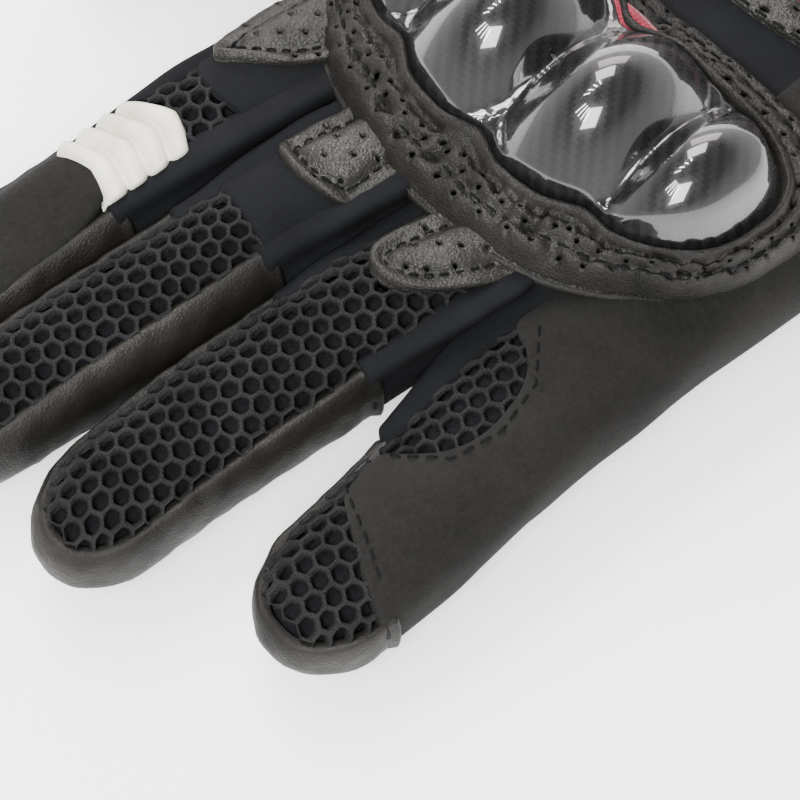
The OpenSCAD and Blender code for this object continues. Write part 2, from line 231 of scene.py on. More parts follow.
def suede(name, dark, light, sheen):
    """Brushed suede: matte, finely mottled, with a short soft nap."""
    paint = Paint(name)
    broad, nap = paint.noise(55, 6, 0.62), paint.noise(1300, 4, 0.7)
    tone = paint.math("MULTIPLY_ADD", nap, 0.45, paint.math("MULTIPLY", broad, 0.55))
    paint.ramp("Base Color", tone, (0.36, dark), (0.64, light))
    paint.bump(nap, 0.55, 0.0004)
    paint.uniform({"Roughness": 0.95, "Specular IOR Level": 0.12,
                   "Sheen Weight": sheen, "Sheen Roughness": 0.5})
    return paint.material


def fabric(name, dark, light, rib, roughness=0.9, bump=0.5, sheen=0.25):
    """Knitted or woven cloth: two crossing sets of fine ribs and soft mottling."""
    paint = Paint(name)
    broad, fuzz = paint.noise(90, 5), paint.noise(rib * 1.4, 2)
    tone = paint.math("MULTIPLY_ADD", fuzz, 0.5, paint.math("MULTIPLY", broad, 0.5))
    paint.ramp("Base Color", tone, (0.35, dark), (0.66, light))
    rows = []
    for direction in ("X", "Y"):
        wave = paint.nodes.new("ShaderNodeTexWave")
        wave.bands_direction = direction
        wave.inputs["Scale"].default_value = rib / 6.3
        wave.inputs["Distortion"].default_value = 1.2
        wave.inputs["Detail"].default_value = 1.0
        paint.links.new(paint.where, wave.inputs["Vector"])
        rows.append(wave.outputs["Fac"])
    weave = paint.math("MULTIPLY", rows[0], rows[1])
    paint.bump(paint.math("MULTIPLY_ADD", fuzz, 0.6, weave), bump, 0.00025)
    paint.uniform({"Roughness": roughness, "Specular IOR Level": 0.14,
                   "Sheen Weight": sheen, "Sheen Roughness": 0.5})
    return paint.material


def carbon(name):
    """Twill-woven carbon under a thick clear gloss coat."""
    paint = Paint(name)
    apart = paint.nodes.new("ShaderNodeSeparateXYZ")
    paint.links.new(paint.where, apart.inputs[0])
    tows_per_metre = 1500.0
    along, across = (paint.math("MULTIPLY", apart.outputs[k], tows_per_metre) for k in (0, 1))
    both = paint.math("ADD", paint.math("FLOOR", along), paint.math("FLOOR", across))
    warp = paint.math("LESS_THAN", paint.math("FRACT", paint.math("MULTIPLY", both, 0.25)), 0.45)
    tone = paint.math("MULTIPLY_ADD", paint.noise(60, 4), 0.45, paint.math("MULTIPLY", warp, 0.13))
    paint.ramp("Base Color", tone, (0.1, (0.004, 0.004, 0.0042)), (0.62, (0.013, 0.0118, 0.0122)))
    paint.ramp("Roughness", warp, (0.0, (0.26,) * 3), (1.0, (0.33,) * 3))
    bulge = paint.math("MULTIPLY", paint.math("PINGPONG", along, 0.5), paint.math("PINGPONG", across, 0.5))
    paint.bump(bulge, 0.12, 0.0001)
    paint.uniform({"Specular IOR Level": 0.2, "Coat Weight": 1.0, "Coat Roughness": 0.03, "Coat IOR": 1.55})
    return paint.material


def rubber(name, dark, light, roughness):
    paint = Paint(name)
    paint.ramp("Base Color", paint.noise(180, 5), (0.3, dark), (0.7, light))
    paint.bump(paint.noise(1800, 2), 0.25, 0.0002)
    paint.uniform({"Roughness": roughness})
    return paint.material


SMOOTH_LEATHER = leather("smooth_leather", (0.0034, 0.0031, 0.0024), (0.0105, 0.0095, 0.0074),
                         grain=1500, roughness=(0.40, 0.62), bump=0.35, specular=0.20)
PERFORATED = leather("perforated_leather", (0.0035, 0.0033, 0.0027), (0.0200, 0.0186, 0.0155),
                     grain=1300, roughness=(0.32, 0.55), bump=0.5, specular=0.28)
BORDER_LEATHER = leather("border_leather", (0.0028, 0.0026, 0.0021), (0.0125, 0.0116, 0.0096),
                         grain=1300, roughness=(0.36, 0.60), bump=0.5, specular=0.20)
PALE_LEATHER = leather("pleated_insert", (0.44, 0.42, 0.335), (0.74, 0.725, 0.63),
                       grain=1000, roughness=(0.35, 0.5), bump=0.25)
STRETCH = fabric("stretch_fabric", (0.0018, 0.0020, 0.0025), (0.0055, 0.0060, 0.0073),
                 rib=5200, sheen=0.0, bump=0.25)
SUEDE = suede("suede", (0.0052, 0.0051, 0.0047), (0.0135, 0.0131, 0.0120), sheen=0.02)
NET = fabric("air_mesh", (0.0028, 0.0027, 0.0030), (0.0135, 0.0130, 0.0140),
             rib=4200, roughness=0.7, sheen=0.0)
LINING = fabric("lining", (0.0015, 0.0015, 0.002), (0.005, 0.005, 0.006), rib=1800, sheen=0.0)
THREAD = fabric("thread", (0.002, 0.002, 0.0019), (0.006, 0.0058, 0.0055), rib=5000, sheen=0.0)
RED = fabric("red_padding", (0.10, 0.008, 0.016), (0.30, 0.025, 0.05), rib=2400, sheen=0.3)
TAPE = fabric("touch_fastener", (0.004, 0.004, 0.005), (0.020, 0.020, 0.022), rib=1500, bump=1.0)
FOAM = rubber("foam", (0.006, 0.006, 0.006), (0.016, 0.016, 0.016), 0.8)
RUBBER = rubber("moulded_rubber", (0.008, 0.008, 0.009), (0.022, 0.022, 0.023), 0.45)
CARBON = carbon("hard_shell")


# ---- meshes -----------------------------------------------------------------------
def add_mesh(name, part, material):
    """A smooth-shaded piece from a part, which is a pair of points in mm and faces."""
    points, faces = part
    mesh = bpy.data.meshes.new(name)
    mesh.from_pydata((np.asarray(points) * MM).tolist(), [], faces)
    mesh.materials.append(material)
    mesh.polygons.foreach_set("use_smooth", [True] * len(mesh.polygons))
    mesh.update()
    piece = bpy.data.objects.new(name, mesh)
    bpy.context.collection.objects.link(piece)
    return piece


def fixed(body, name, part, material, *stands_for):
    """A piece that rides one body whole, in place of the CAD nodes that it stands for."""
    piece = add_mesh(name, part, material)
    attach(piece, body)
    if stands_for:
        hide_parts(*stands_for)
    return piece


def join(parts):
    """Several parts as one."""
    faces, base = [], 0
    for points, own in parts:
        faces += [tuple(i + base for i in face) for face in own]
        base += len(points)
    return np.concatenate([points for points, _ in parts]), faces


def grid_faces(rows, cols, closed=False):
    faces = []
    for i in range(rows - 1):
        for j in range(cols if closed else cols - 1):
            a, b = i * cols + j, i * cols + (j + 1) % cols
            faces.append((a, a + cols, b + cols, b))
    return faces


def patch(surface, us, vs, rise, closed=False):
    """A grid over surface(u, v, rise); rise is a function of u and v arrays."""
    u, v = (x.ravel() for x in np.meshgrid(us, vs, indexing="ij"))
    return surface(u, v, rise(u, v)), grid_faces(len(us), len(vs), closed)


def turned(distance, width):
    """1 inside a panel, falling in a quarter circle to 0 at its edge."""
    return np.sqrt(np.clip(1 - (1 - np.clip(distance / width, 0, 1)) ** 2, 0, 1))


def tucked(us, vs, rise, u_mm, v_mm, depth, width):
    """rise with the edges of the panel turned under, as a folded and sewn edge is."""

    def shaped(u, v):
        edge = np.minimum(np.minimum(u - us[0], us[-1] - u) * u_mm, np.minimum(v - vs[0], vs[-1] - v) * v_mm)
        k = turned(edge, width)
        return rise(u, v) * k - depth * (1 - k)

    return shaped


def steps(low, high, size, edge=0.35):
    """Even steps from low to high, with two short ones at each end for the turned edge."""
    n = max(3, int(round((high - low) / size)))
    inner = np.linspace(low, high, n)
    extra = [end + way * edge * k for end, way in ((low, 1), (high, -1)) for k in (1, 2, 3)]
    return np.unique(np.round(np.concatenate([inner, extra]), 4))


def inside_outline(points, outline):
    x, y = points[:, 0], points[:, 1]
    hit = np.zeros(len(points), bool)
    for (x0, y0), (x1, y1) in zip(outline, np.roll(outline, -1, axis=0)):
        if y0 == y1:
            continue
        cross = (y0 > y) != (y1 > y)
        hit ^= cross & (x < (x1 - x0) * (y - y0) / (y1 - y0) + x0)
    return hit


def dense(outline, size):
    """The outline's points with others added so that none are further apart than size."""
    outline = np.asarray(outline, float)
    points = []
    for a, b in zip(outline, np.roll(outline, -1, axis=0)):
        n = max(1, int(math.ceil(np.linalg.norm(b - a) / size)))
        points += [a + (b - a) * k / n for k in range(n)]
    return np.array(points)


def rounded(outline, cuts=3):
    """The outline with its corners cut round (Chaikin's rule)."""
    points = np.asarray(outline, float)
    for _ in range(cuts):
        ahead = np.roll(points, -1, axis=0)
        points = np.stack([points * 0.75 + ahead * 0.25, points * 0.25 + ahead * 0.75], 1).reshape(-1, 2)
    return points


def edge_distance(points, outline):
    """Distance of each point from the outline."""
    best = np.full(len(points), 1e9)
    for a, b in zip(outline, np.roll(outline, -1, axis=0)):
        d = b - a
        k = np.clip(((points - a) @ d) / max(d @ d, 1e-9), 0, 1)
        best = np.minimum(best, np.linalg.norm(points - (a + k[:, None] * d), axis=1))
    return best


def cut_panel(surface, outline, rise, holes=(), hole_r=0.46, grid=1.6, wall=0.9, fold=1.0):
    """A sewn panel with any outline and punched holes: cut flat in (u, v), laid on the surface."""
    outline = dense(outline, grid * 0.8)
    loops = [outline]
    turn = np.arange(8) * math.pi / 4
    loops += [np.stack([c[0] + hole_r * np.cos(turn), c[1] + hole_r * np.sin(turn)], 1) for c in holes]
    low, high = outline.min(0), outline.max(0)
    gu, gv = np.meshgrid(np.arange(low[0], high[0], grid), np.arange(low[1], high[1], grid * 0.87),
                         indexing="ij")
    gu = gu + (np.arange(gv.shape[1]) % 2)[None, :] * grid / 2
    fill = np.stack([gu.ravel(), gv.ravel()], 1)
    fill = fill[inside_outline(fill, outline)]
    fill = fill[edge_distance(fill, outline) > grid * 0.35]
    for c in holes:
        fill = fill[np.hypot(*(fill - c).T) > hole_r + grid * 0.3]
    ring_in = outline_inset(outline, 0.35), outline_inset(outline, 0.8)
    fill = np.concatenate([fill, *[r[inside_outline(r, outline)] for r in ring_in]])
    edges, base = [], 0
    for loop in loops:
        n = len(loop)
        edges += [(base + k, base + (k + 1) % n) for k in range(n)]
        base += n
    corners = np.concatenate(loops + [fill])
    result = delaunay_2d_cdt([Vector(p) for p in corners.tolist()], edges, [], 0, 1e-5, False)
    flat_points = np.array([tuple(v) for v in result[0]])
    triangles = np.array([f for f in result[2] if len(f) == 3])
    middle = flat_points[triangles].mean(1)
    keep = inside_outline(middle, outline)
    for c in holes:
        keep &= np.hypot(*(middle - c).T) > hole_r * 0.9
    triangles = triangles[keep]
    u, v = flat_points.T
    k = turned(edge_distance(flat_points, outline), fold)
    level = rise(u, v)
    top = surface(u, v, level * k - wall * (1 - k))
    outward = surface(u, v, level + 1.0) - surface(u, v, level)
    return skinned(top, surface(u, v, level - wall), triangles, outward)


def outline_inset(outline, by):
    """Points a little inside the outline, for a well-shaped folded edge."""
    ahead, behind = np.roll(outline, -1, axis=0), np.roll(outline, 1, axis=0)
    way = ahead - behind
    way /= np.maximum(np.linalg.norm(way, axis=1), 1e-9)[:, None]
    area = 0.5 * np.sum(outline[:, 0] * ahead[:, 1] - ahead[:, 0] * outline[:, 1])
    normal = np.stack([-way[:, 1], way[:, 0]], 1) * (1 if area > 0 else -1)
    return outline + normal * by


def skinned(top, low, triangles, outward):
    """(points, faces) of a thin sheet: its top, and walls down to low round every edge."""
    a, b, c = (top[triangles[:, k]] for k in range(3))
    side = np.einsum("ij,ij->i", np.cross(b - a, c - a), outward[triangles[:, 0]])
    if side.sum() < 0:
        triangles = triangles[:, ::-1]
    n = len(top)
    faces = [tuple(f) for f in triangles.tolist()]
    used = dict.fromkeys((f[k], f[(k + 1) % 3]) for f in faces for k in range(3))
    rim = [(p, q) for p, q in used if (q, p) not in used]
    faces += [(q, p, n + p, n + q) for p, q in rim]
    return np.concatenate([top, low]), faces


def without_loose(points, faces):
    """The part without the points that no face uses."""
    index = np.unique(np.concatenate([np.asarray(f) for f in faces]))
    new = np.full(len(points), -1)
    new[index] = np.arange(len(index))
    return points[index], [tuple(int(new[i]) for i in f) for f in faces]


def hex_net(surface, box, keep, seed, crown):
    """Open hexagonal mesh: each cell is a rounded hole with raised, round-topped threads round it."""
    # Spacing of the cells, width of a thread and depth of its lower edge, in mm.
    pitch, strut, deep = 3.15, 0.78, 0.75
    u0, u1, v0, v1 = box
    points, faces, index = [], [], {}

    def corners(cu, cv, even, odd):
        turns = [math.pi / 6 * k for k in range(12)]
        sizes = [even, odd] * 6
        return [(cu + r * math.cos(turn), cv + r * math.sin(turn)) for r, turn in zip(sizes, turns)]

    def shared(x, y):
        key = (round(x * 20), round(y * 20))
        if key not in index:
            index[key] = len(points)
            points.append((x, y, crown))
        return index[key]

    side = pitch / math.sqrt(3)
    hole = (pitch - strut) / 2
    rows = int((u1 - u0) / (side * 1.5)) + 2
    cols = int((v1 - v0) / pitch) + 2
    for i in range(rows):
        for j in range(cols):
            cu, cv = u0 + i * side * 1.5, v0 + (j + 0.5 * (i % 2)) * pitch
            if not keep(cu, cv):
                continue
            outer = [shared(x, y) for x, y in corners(cu, cv, side, pitch / 2)]
            for grow, height in ((0.16, crown - 0.12), (0.0, crown - 0.5), (0.02, -deep)):
                first = len(points)
                r = hole + grow
                points += [(x, y, height) for x, y in corners(cu, cv, r * 1.10, r * 1.0)]
                ring = [first + k for k in range(12)]
                faces += zip(outer, ring, ring[1:] + ring[:1], outer[1:] + outer[:1])
                outer = ring
    cut = np.array(points)
    spot = flat(cut[:, 0], cut[:, 1])
    cut[:, 0] += 0.22 * waves(spot, 9, seed) + 0.08 * waves(spot, 3, seed + 1)
    cut[:, 1] += 0.22 * waves(spot, 9, seed + 2) + 0.08 * waves(spot, 3, seed + 3)
    lift = 0.18 * waves(spot, 14, seed + 4)
    return surface(cut[:, 0], cut[:, 1], cut[:, 2] + lift), faces


def tube(path, up, radius, sides=6):
    """A round thread along path points, with its ends drawn in."""
    way = np.gradient(path, axis=0)
    way /= np.linalg.norm(way, axis=1)[:, None]
    across = np.cross(way, up)
    across /= np.maximum(np.linalg.norm(across, axis=1), 1e-9)[:, None]
    top = np.cross(across, way)
    n = len(path)
    r = np.full(n, radius)
    r[0] = r[-1] = radius * 0.35
    turn = np.arange(sides) * 2 * math.pi / sides
    ring = (across[:, None] * np.cos(turn)[None, :, None] + top[:, None] * np.sin(turn)[None, :, None])
    points = (path[:, None] + ring * r[:, None, None]).reshape(-1, 3)
    faces = grid_faces(n, sides, closed=True)
    faces.append(tuple(range(sides)))
    faces.append(tuple(reversed(range((n - 1) * sides, n * sides))))
    return points, faces


def stitches(surface, line, rise, length=2.3, gap=1.0, radius=0.27, closed=False):
    """A row of sewn stitches along a line of (u, v) points on the surface."""
    line = np.asarray(line, float)
    if closed:
        line = np.concatenate([line, line[:1]])
    parts = [np.linspace(a, b, 12, endpoint=False) for a, b in zip(line[:-1], line[1:])]
    fine = np.concatenate(parts + [line[-1:]])
    run = run_along(surface(fine[:, 0], fine[:, 1], np.full(len(fine), rise)))
    sink = np.array([-0.45, -0.02, 0.12, -0.02, -0.45])
    sewn = []
    start = gap / 2
    while start + length < run[-1]:
        at = start + length * np.array([0.0, 0.12, 0.5, 0.88, 1.0])
        u, v = np.interp(at, run, fine[:, 0]), np.interp(at, run, fine[:, 1])
        path = surface(u, v, rise + sink)
        sewn.append(tube(path, surface(u, v, rise + sink + 1) - path, radius))
        start += length + gap
    return join(sewn)


# ---- fingers ----------------------------------------------------------------------
TIP_ROUND = 13.0
TIP_ARC = math.pi * 11.0
SECTION = 0.78
# Radius of the section that a digit's ring_arc is measured on.
RING_R = 9.5
# Millimetres of surface per degree round a finger, and up a side wall from bottom to top.
DEGREE_MM = 0.165
WALL_MM = 14.0


class Digit:
    """A finger or thumb of the glove: a tapering tube on its hinges, as in the CAD model."""

    def __init__(self, name, knuckle, heading, lengths, shift, half_w, centre_z, up, down, bodies, reach):
        self.name = name
        self.knuckle = np.array(knuckle, float)
        self.stations = np.concatenate([[0.0], np.cumsum(lengths)])
        self.tip = self.stations[-1]
        self.bend = self.tip - TIP_ROUND
        self.along = np.array([sind(heading), cosd(heading)])
        self.side = np.array([cosd(heading), -sind(heading)])
        self.shift, self.half_w, self.centre_z, self.up, self.down = shift, half_w, centre_z, up, down
        self.bodies, self.reach = bodies, reach
        ends = [self.stations[k] + reach[k] for k in range(len(reach))]
        starts = [self.stations[k] - reach[k] for k in range(len(reach))]
        self.cuts = [(ends[k] + starts[k + 1]) / 2 for k in range(len(reach) - 1)]
        self.ring_t = np.linspace(0, 360, 721)
        ring = [RING_R * power(axis(self.ring_t), SECTION) for axis in (cosd, sind)]
        self.ring_arc = run_along(np.stack(ring, 1))

    def at(self, s, values):
        return spread(s, self.stations, values)

    def taper(self, s, rise):
        k = np.clip((s - (self.tip + rise) + TIP_ROUND) / TIP_ROUND, 0, 1)
        return np.sqrt(np.clip(1 - k * k, 0, 1))

    def narrowed(self, s, t, q, rise):
        """The point at distance s and angle t round the tube, where the tip narrows it to the share q."""
        lateral = self.at(s, self.shift)
        lateral = lateral + (self.at(s, self.half_w) + rise) * q * power(cosd(t), SECTION)
        high = np.where(sind(t) >= 0, self.at(s, self.up), self.at(s, self.down))
        z = self.at(s, self.centre_z) + (high + rise) * q * power(sind(t), SECTION)
        xy = self.knuckle + s[:, None] * self.along + lateral[:, None] * self.side
        return np.concatenate([xy, z[:, None]], 1)

    def point(self, s, t, rise=0.0):
        s, t, rise = matched(s, t, rise)
        return self.narrowed(s, t, self.taper(s, rise), rise)

    def size(self, s):
        """Size of the section, as a share of the one that ring_arc is measured on."""
        return (self.at(s, self.half_w) + self.at(s, self.up)) / (2 * RING_R)

    def laid(self, s, b, rise=0.0):
        """The point at b mm of surface from the top, positive towards the little finger."""
        return self.point(s, self.angle(s, b), rise)

    def angle(self, s, b):
        s, b = matched(s, b)
        size = np.maximum(self.size(s) * self.taper(s, 0.0), 0.05)
        top = np.interp(90, self.ring_t, self.ring_arc)
        return np.interp(top + b / size, self.ring_arc, self.ring_t)

    def over(self, s, lat, rise=0.0):
        """The point of the top surface at lat mm towards the thumb side of the middle line."""
        return self.point(s, self.angle_over(s, lat), rise)

    def angle_over(self, s, lat):
        share = (lat - self.at(s, self.shift)) / self.at(s, self.half_w)
        return np.degrees(np.arccos(np.clip(power(np.clip(share, -1, 1), 1 / SECTION), -1, 1)))

    def edge_run(self, s, lat):
        """Millimetres of surface from the outer edge up to the point that is lat from the middle line."""
        arc = np.interp((180, self.angle_over(s, lat)), self.ring_t, self.ring_arc)
        return float((arc[0] - arc[1]) * self.size(s))

    def from_edge(self, s, b):
        """The angle that is b mm of surface above the outer edge."""
        arc = np.interp(180, self.ring_t, self.ring_arc) - b / self.size(s)
        return np.interp(arc, self.ring_arc, self.ring_t)

    def wrap(self, p, e, rise=0.0, start=0.0):
        """Side wall that runs round the fingertip. p is mm along it from the little-finger side at
        distance start, e the angle above level."""
        p, e, rise = matched(p, e, rise)
        straight = self.bend - start
        turn = np.clip((p - straight) / TIP_ARC, 0, 1) * 180.0
        x = -cosd(e) * cosd(turn)
        y = cosd(e) * sind(turn)
        z = sind(e)
        t = np.degrees(np.arctan2(z, x)) % 360
        round_tip = (turn > 0) & (turn < 180)
        on_side = np.where(p < straight, start + p, self.bend - (p - straight - TIP_ARC))
        s = np.where(round_tip, self.bend + (TIP_ROUND + rise) * y, on_side)
        at_tip = self.narrowed(s, t, np.hypot(x, z), rise)
        return np.where(round_tip[:, None], at_tip, self.point(s, t, rise))

    def fit(self, name, part, material, replaces=None):
        """Splits a part at the places where it follows one body, into one piece for each joint.
        replaces gives the CAD nodes that the piece at each joint stands for."""
        points, faces = part
        s = (points[:, :2] - self.knuckle) @ self.along
        zone = np.digitize([s[list(f)].mean() for f in faces], self.cuts)
        labels = ("knuckle", "middle", "end") if len(self.reach) == 3 else ("knuckle", "end")
        for k, label in enumerate(labels):
            chosen = [f for f, z in zip(faces, zone) if z == k]
            if not chosen:
                continue
            piece = add_mesh(f"{self.name}_{name}_{label}", without_loose(points, chosen), material)
            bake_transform(piece)
            if replaces and replaces(k):
                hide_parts(*replaces(k))


def finger(name, *shape):
    bodies = ["hand", f"{name}_base", f"{name}_mid", f"{name}_tip"]
    return Digit(name, *shape, bodies, (12.0, 12.0, 8.0))


INDEX = finger("index", (30.5, 58), 5.5, (48, 25, 23), (0, 0, 0, 0), (9.2, 9.2, 9.0, 8.6),
               (18.4, 17.5, 13.5, 9), (9.8, 10, 9.2, 8.2), (10.2, 10, 9, 8.5))
MIDDLE = finger("middle", (10, 63), 6.5, (47, 29, 27), (0, 0, 0, 0), (9.0, 9.1, 9.1, 8.7),
                (19, 18, 14, 9), (11.3, 10.8, 9.6, 8.2), (10.8, 10.2, 9, 8.5))
RING = finger("ring", (-11, 59), 5, (45, 28, 28), (0, 1, 1, -1), (9.9, 10.3, 10.2, 9.5),
              (19, 17.5, 13.5, 9), (11.2, 10.6, 9.5, 8.2), (10.8, 10, 9, 8.5))
PINKY = finger("pinky", (-32.5, 53), -1.5, (38, 26, 25), (0, 2.3, 0, -0.6), (10.3, 12.3, 11.2, 10.2),
               (18, 16, 12.5, 9), (10.2, 10, 9.2, 8.2), (10.4, 9.8, 9, 8.5))
FINGERS = (INDEX, MIDDLE, RING, PINKY)

# Where each finger's leather side wall begins, on the little-finger side and the thumb side, and how
# many degrees above level its upper edge runs there and at the tip.
WALLS = {"index": (60, 60, 60, 42, 30), "middle": (43, 50, 60, 42, 34), "ring": (46, 50, 42, 36, 28),
         "pinky": (73, 57, 24, 34, 14)}


def side_nodes(digit, kind):
    parts = ("base", "mid", "tip")
    return lambda k: [f"{digit.name}_{parts[k]}_{kind}"]


def only(joint, node):
    """Names the node for the piece at one joint, 0 being the knuckle."""
    return lambda k: [node] if k == joint else []


def to_tip(digit, straight, short, first, last, count):
    """Distances along a digit, with rings drawn in towards its round tip."""
    round_part = digit.bend + (TIP_ROUND - short) * sind(np.linspace(first, last, count))
    return np.concatenate([straight, round_part])


def make_lining(digit, back=-14.0):
    us = to_tip(digit, np.arange(back, digit.bend, 2.5), 1.6, 2, 89, 9)
    part = patch(digit.point, us, full_turn(36), lambda u, v: np.full(len(u), -1.5), closed=True)
    digit.fit("lining", part, LINING)


def make_wall(digit):
    """The leather side wall: up one side, round the tip and back down the other."""
    outer_from, thumb_from, outer_up, tip_up, thumb_up = WALLS[digit.name]
    straight = digit.bend - outer_from
    length = straight + TIP_ARC + (digit.bend - thumb_from)
    bottom = -38.0

    def surface(u, v, r):
        run = [0, straight, straight + TIP_ARC / 2, straight + TIP_ARC, length]
        top = spread(u, run, [outer_up, outer_up - 4, tip_up, thumb_up, thumb_up], 10)
        return digit.wrap(u, bottom + v * (top - bottom), r, outer_from)

    us, vs = steps(0, length, 1.2), share_steps(22, 0.02, 0.97, 0.985)
    seam_at = 0.16

    def rise(u, v):
        spot = flat(u, v * WALL_MM)
        belly = 0.4 * np.sin(np.clip(v, 0, 1) * math.pi) ** 0.5
        wrinkle = 0.14 * waves(spot, 6, 31, along=(1, 0.4, 0))
        wrinkle = wrinkle + 0.12 * (creases(spot, 12, 77, (1, 0.5, 0)) - 1)
        lip = 0.55 * bell(u, 1.2, 0.9) - 0.5 * bell(u, 3.0, 0.6)
        return 0.6 + belly + wrinkle + lip - 0.35 * bell(v, seam_at, 0.035)

    part = patch(surface, us, vs, tucked(us, vs, rise, 1.0, WALL_MM, 0.7, 0.9))
    digit.fit("side_wall", part, SMOOTH_LEATHER, side_nodes(digit, "sides"))
    line = [(run, seam_at) for run in np.arange(1.5, length - 1, 3.0)]
    digit.fit("side_stitches", stitches(surface, line, 0.45, radius=0.22), THREAD)


def make_under(digit):
    """Palm-side leather of the finger."""
    us, vs = to_tip(digit, steps(-9, digit.bend, 1.8), 0.05, 4, 90, 10), steps(213, 327, 5, 2.2)

    def rise(u, v):
        folds = 0.0
        for joint in digit.stations[1:3]:
            folds = folds - 0.65 * bell(u, joint, 1.1) - 0.4 * bell(u - joint, 4.5, 0.9)
        return 0.45 + 0.12 * waves(flat(u, v * DEGREE_MM), 8, 41) + folds

    shape = tucked(us[:-1], vs, rise, 1.0, DEGREE_MM, 0.5, 0.9)
    tip_rise = lambda u, v: np.where(u > digit.bend, np.minimum(rise(u, v), 0.3), shape(u, v))
    part = patch(digit.point, us, vs, tip_rise)
    digit.fit("palm_leather", part, SMOOTH_LEATHER, side_nodes(digit, "palm"))


def make_roll(digit, label, t0, t1, s0, s1, height, seed, narrow=0.0):
    """Puffy stretch-fabric side of a finger, with a rounded crest next to the back panel. narrow is how
    many degrees its upper edge draws back towards the fingertip."""
    us, vs = steps(s0, s1, 1.3), share_steps(26, 0.012, 0.985)

    def surface(u, v, r):
        back = narrow * smooth((u - s0) / (s1 - s0))
        upper = t0 + back if t0 > 90 else t1 - back
        lower = t1 if t0 > 90 else t0
        return digit.point(u, upper + v * (lower - upper), r)

    def rise(u, v):
        crest = bell(v, 0.21, 0.13) + 0.45 * bell(v, 0.60, 0.17)
        swell = smooth((u - s0) / 16) * (0.4 + 0.6 * smooth((s1 - u) / 26))
        spot = flat(u, v * WALL_MM)
        bunch = 0.8 * waves(spot, 8, seed + 9, along=(0.8, 0.5, 0)) * smooth(1 - (u - s0 - 8) / 18)
        return 0.25 + height * crest * swell + 0.25 * waves(spot, 15, seed, along=(0.4, 1, 0)) + bunch

    part = patch(surface, us, vs, tucked(us, vs, rise, 1.0, WALL_MM, 0.9, 1.3))
    digit.fit(label, part, STRETCH, only(0, f"{digit.name}_base_sides"))


def make_back(digit, label, outline, material, rise_mm, seed, wrinkle):
    """A panel on the finger's back with an outline in (distance along, distance to the thumb side)."""

    def rise(u, v):
        spot = flat(u, v)
        return rise_mm + wrinkle * waves(spot, 9, seed) + 1.2 * wrinkle * (creases(spot, 22, seed + 1) - 1)

    part = cut_panel(digit.over, rounded(outline, 2), rise, grid=1.7, wall=1.0)
    digit.fit(label, part, material, side_nodes(digit, "back"))


def make_net(digit, label, s0, s1, t0, t1, seed, replaces=None, crown=0.45):
    """Hexagonal mesh over part of a finger's back."""

    def keep(s, b):
        return s0 <= s <= s1 and t0 <= float(digit.angle(s, b)) <= t1

    part = hex_net(digit.laid, (s0 - 2, s1 + 2, -22.0, 22.0), keep, seed, crown)
    digit.fit(label, part, NET, replaces)


# Outlines of the tongues, in (distance along the finger, distance to its thumb side).
FLAPS = {
    "index": [(11, 9), (22, 9), (30, 9.2), (34.5, 8.2), (37.2, 6), (36, 4), (33, 1.8),
              (28, -2.3), (22, -4.5), (11, -6)],
    "middle": [(11, 8), (21, 6.6), (26, 7.4), (31, 8), (34.6, 7), (35.2, 5), (35, 1),
               (33.4, -3.4), (31.2, -6.3), (28.5, -7), (22, -6), (11, -7)],
    "ring": [(11, 8.5), (21, 5), (28, 6), (34, 7.2), (38.4, 6.6), (40, 4), (39.5, 1),
             (37.6, -1.8), (33, -4.8), (27, -6.8), (21, -8.2), (11, -9)],
}


def make_flap(digit, seed):
    """Perforated leather tongue with a rolled and stitched rim, running out from under the protector."""
    outline = rounded(FLAPS[digit.name], 2)
    seam_in = 2.6
    spots = []
    rng = np.random.default_rng(seed)
    for i, s in enumerate(np.arange(17, 40, 3.1)):
        for lat in np.arange(-9, 10, 3.3) + (i % 2) * 1.6:
            spots.append((s + rng.uniform(-0.4, 0.4), lat + rng.uniform(-0.4, 0.4)))
    spots = np.array(spots)
    inset = edge_distance(spots, outline)
    holes = spots[inside_outline(spots, outline) & (inset > 1.3) & (np.abs(inset - seam_in) > 0.75)]

    def rise(u, v):
        at, spot = np.stack([u, v], 1), flat(u, v)
        inset = edge_distance(at, outline) * np.where(inside_outline(at, outline), 1, 0)
        rim = 0.8 * bell(inset, 1.1, 0.75) - 0.75 * bell(inset, seam_in, 0.4)
        field = 1.0 * smooth((inset - 2.4) / 2.5)
        wrinkle = 0.3 * waves(spot, 9, seed) + 0.18 * (creases(spot, 9, seed + 1) - 1) * smooth(inset / 3)
        return 1.5 + rim + field + wrinkle + 0.7 * smooth((22 - u) / 10)

    part = cut_panel(digit.over, outline, rise, holes, hole_r=0.42, grid=0.75, wall=1.5, fold=0.9)
    digit.fit("flap", part, PERFORATED, only(0, f"{digit.name}_flap"))
    line = outline_inset(dense(outline, 1.0), seam_in)
    sewn = stitches(digit.over, line, 1.25, length=1.5, gap=0.8, radius=0.2, closed=True)
    digit.fit("flap_stitches", sewn, THREAD)


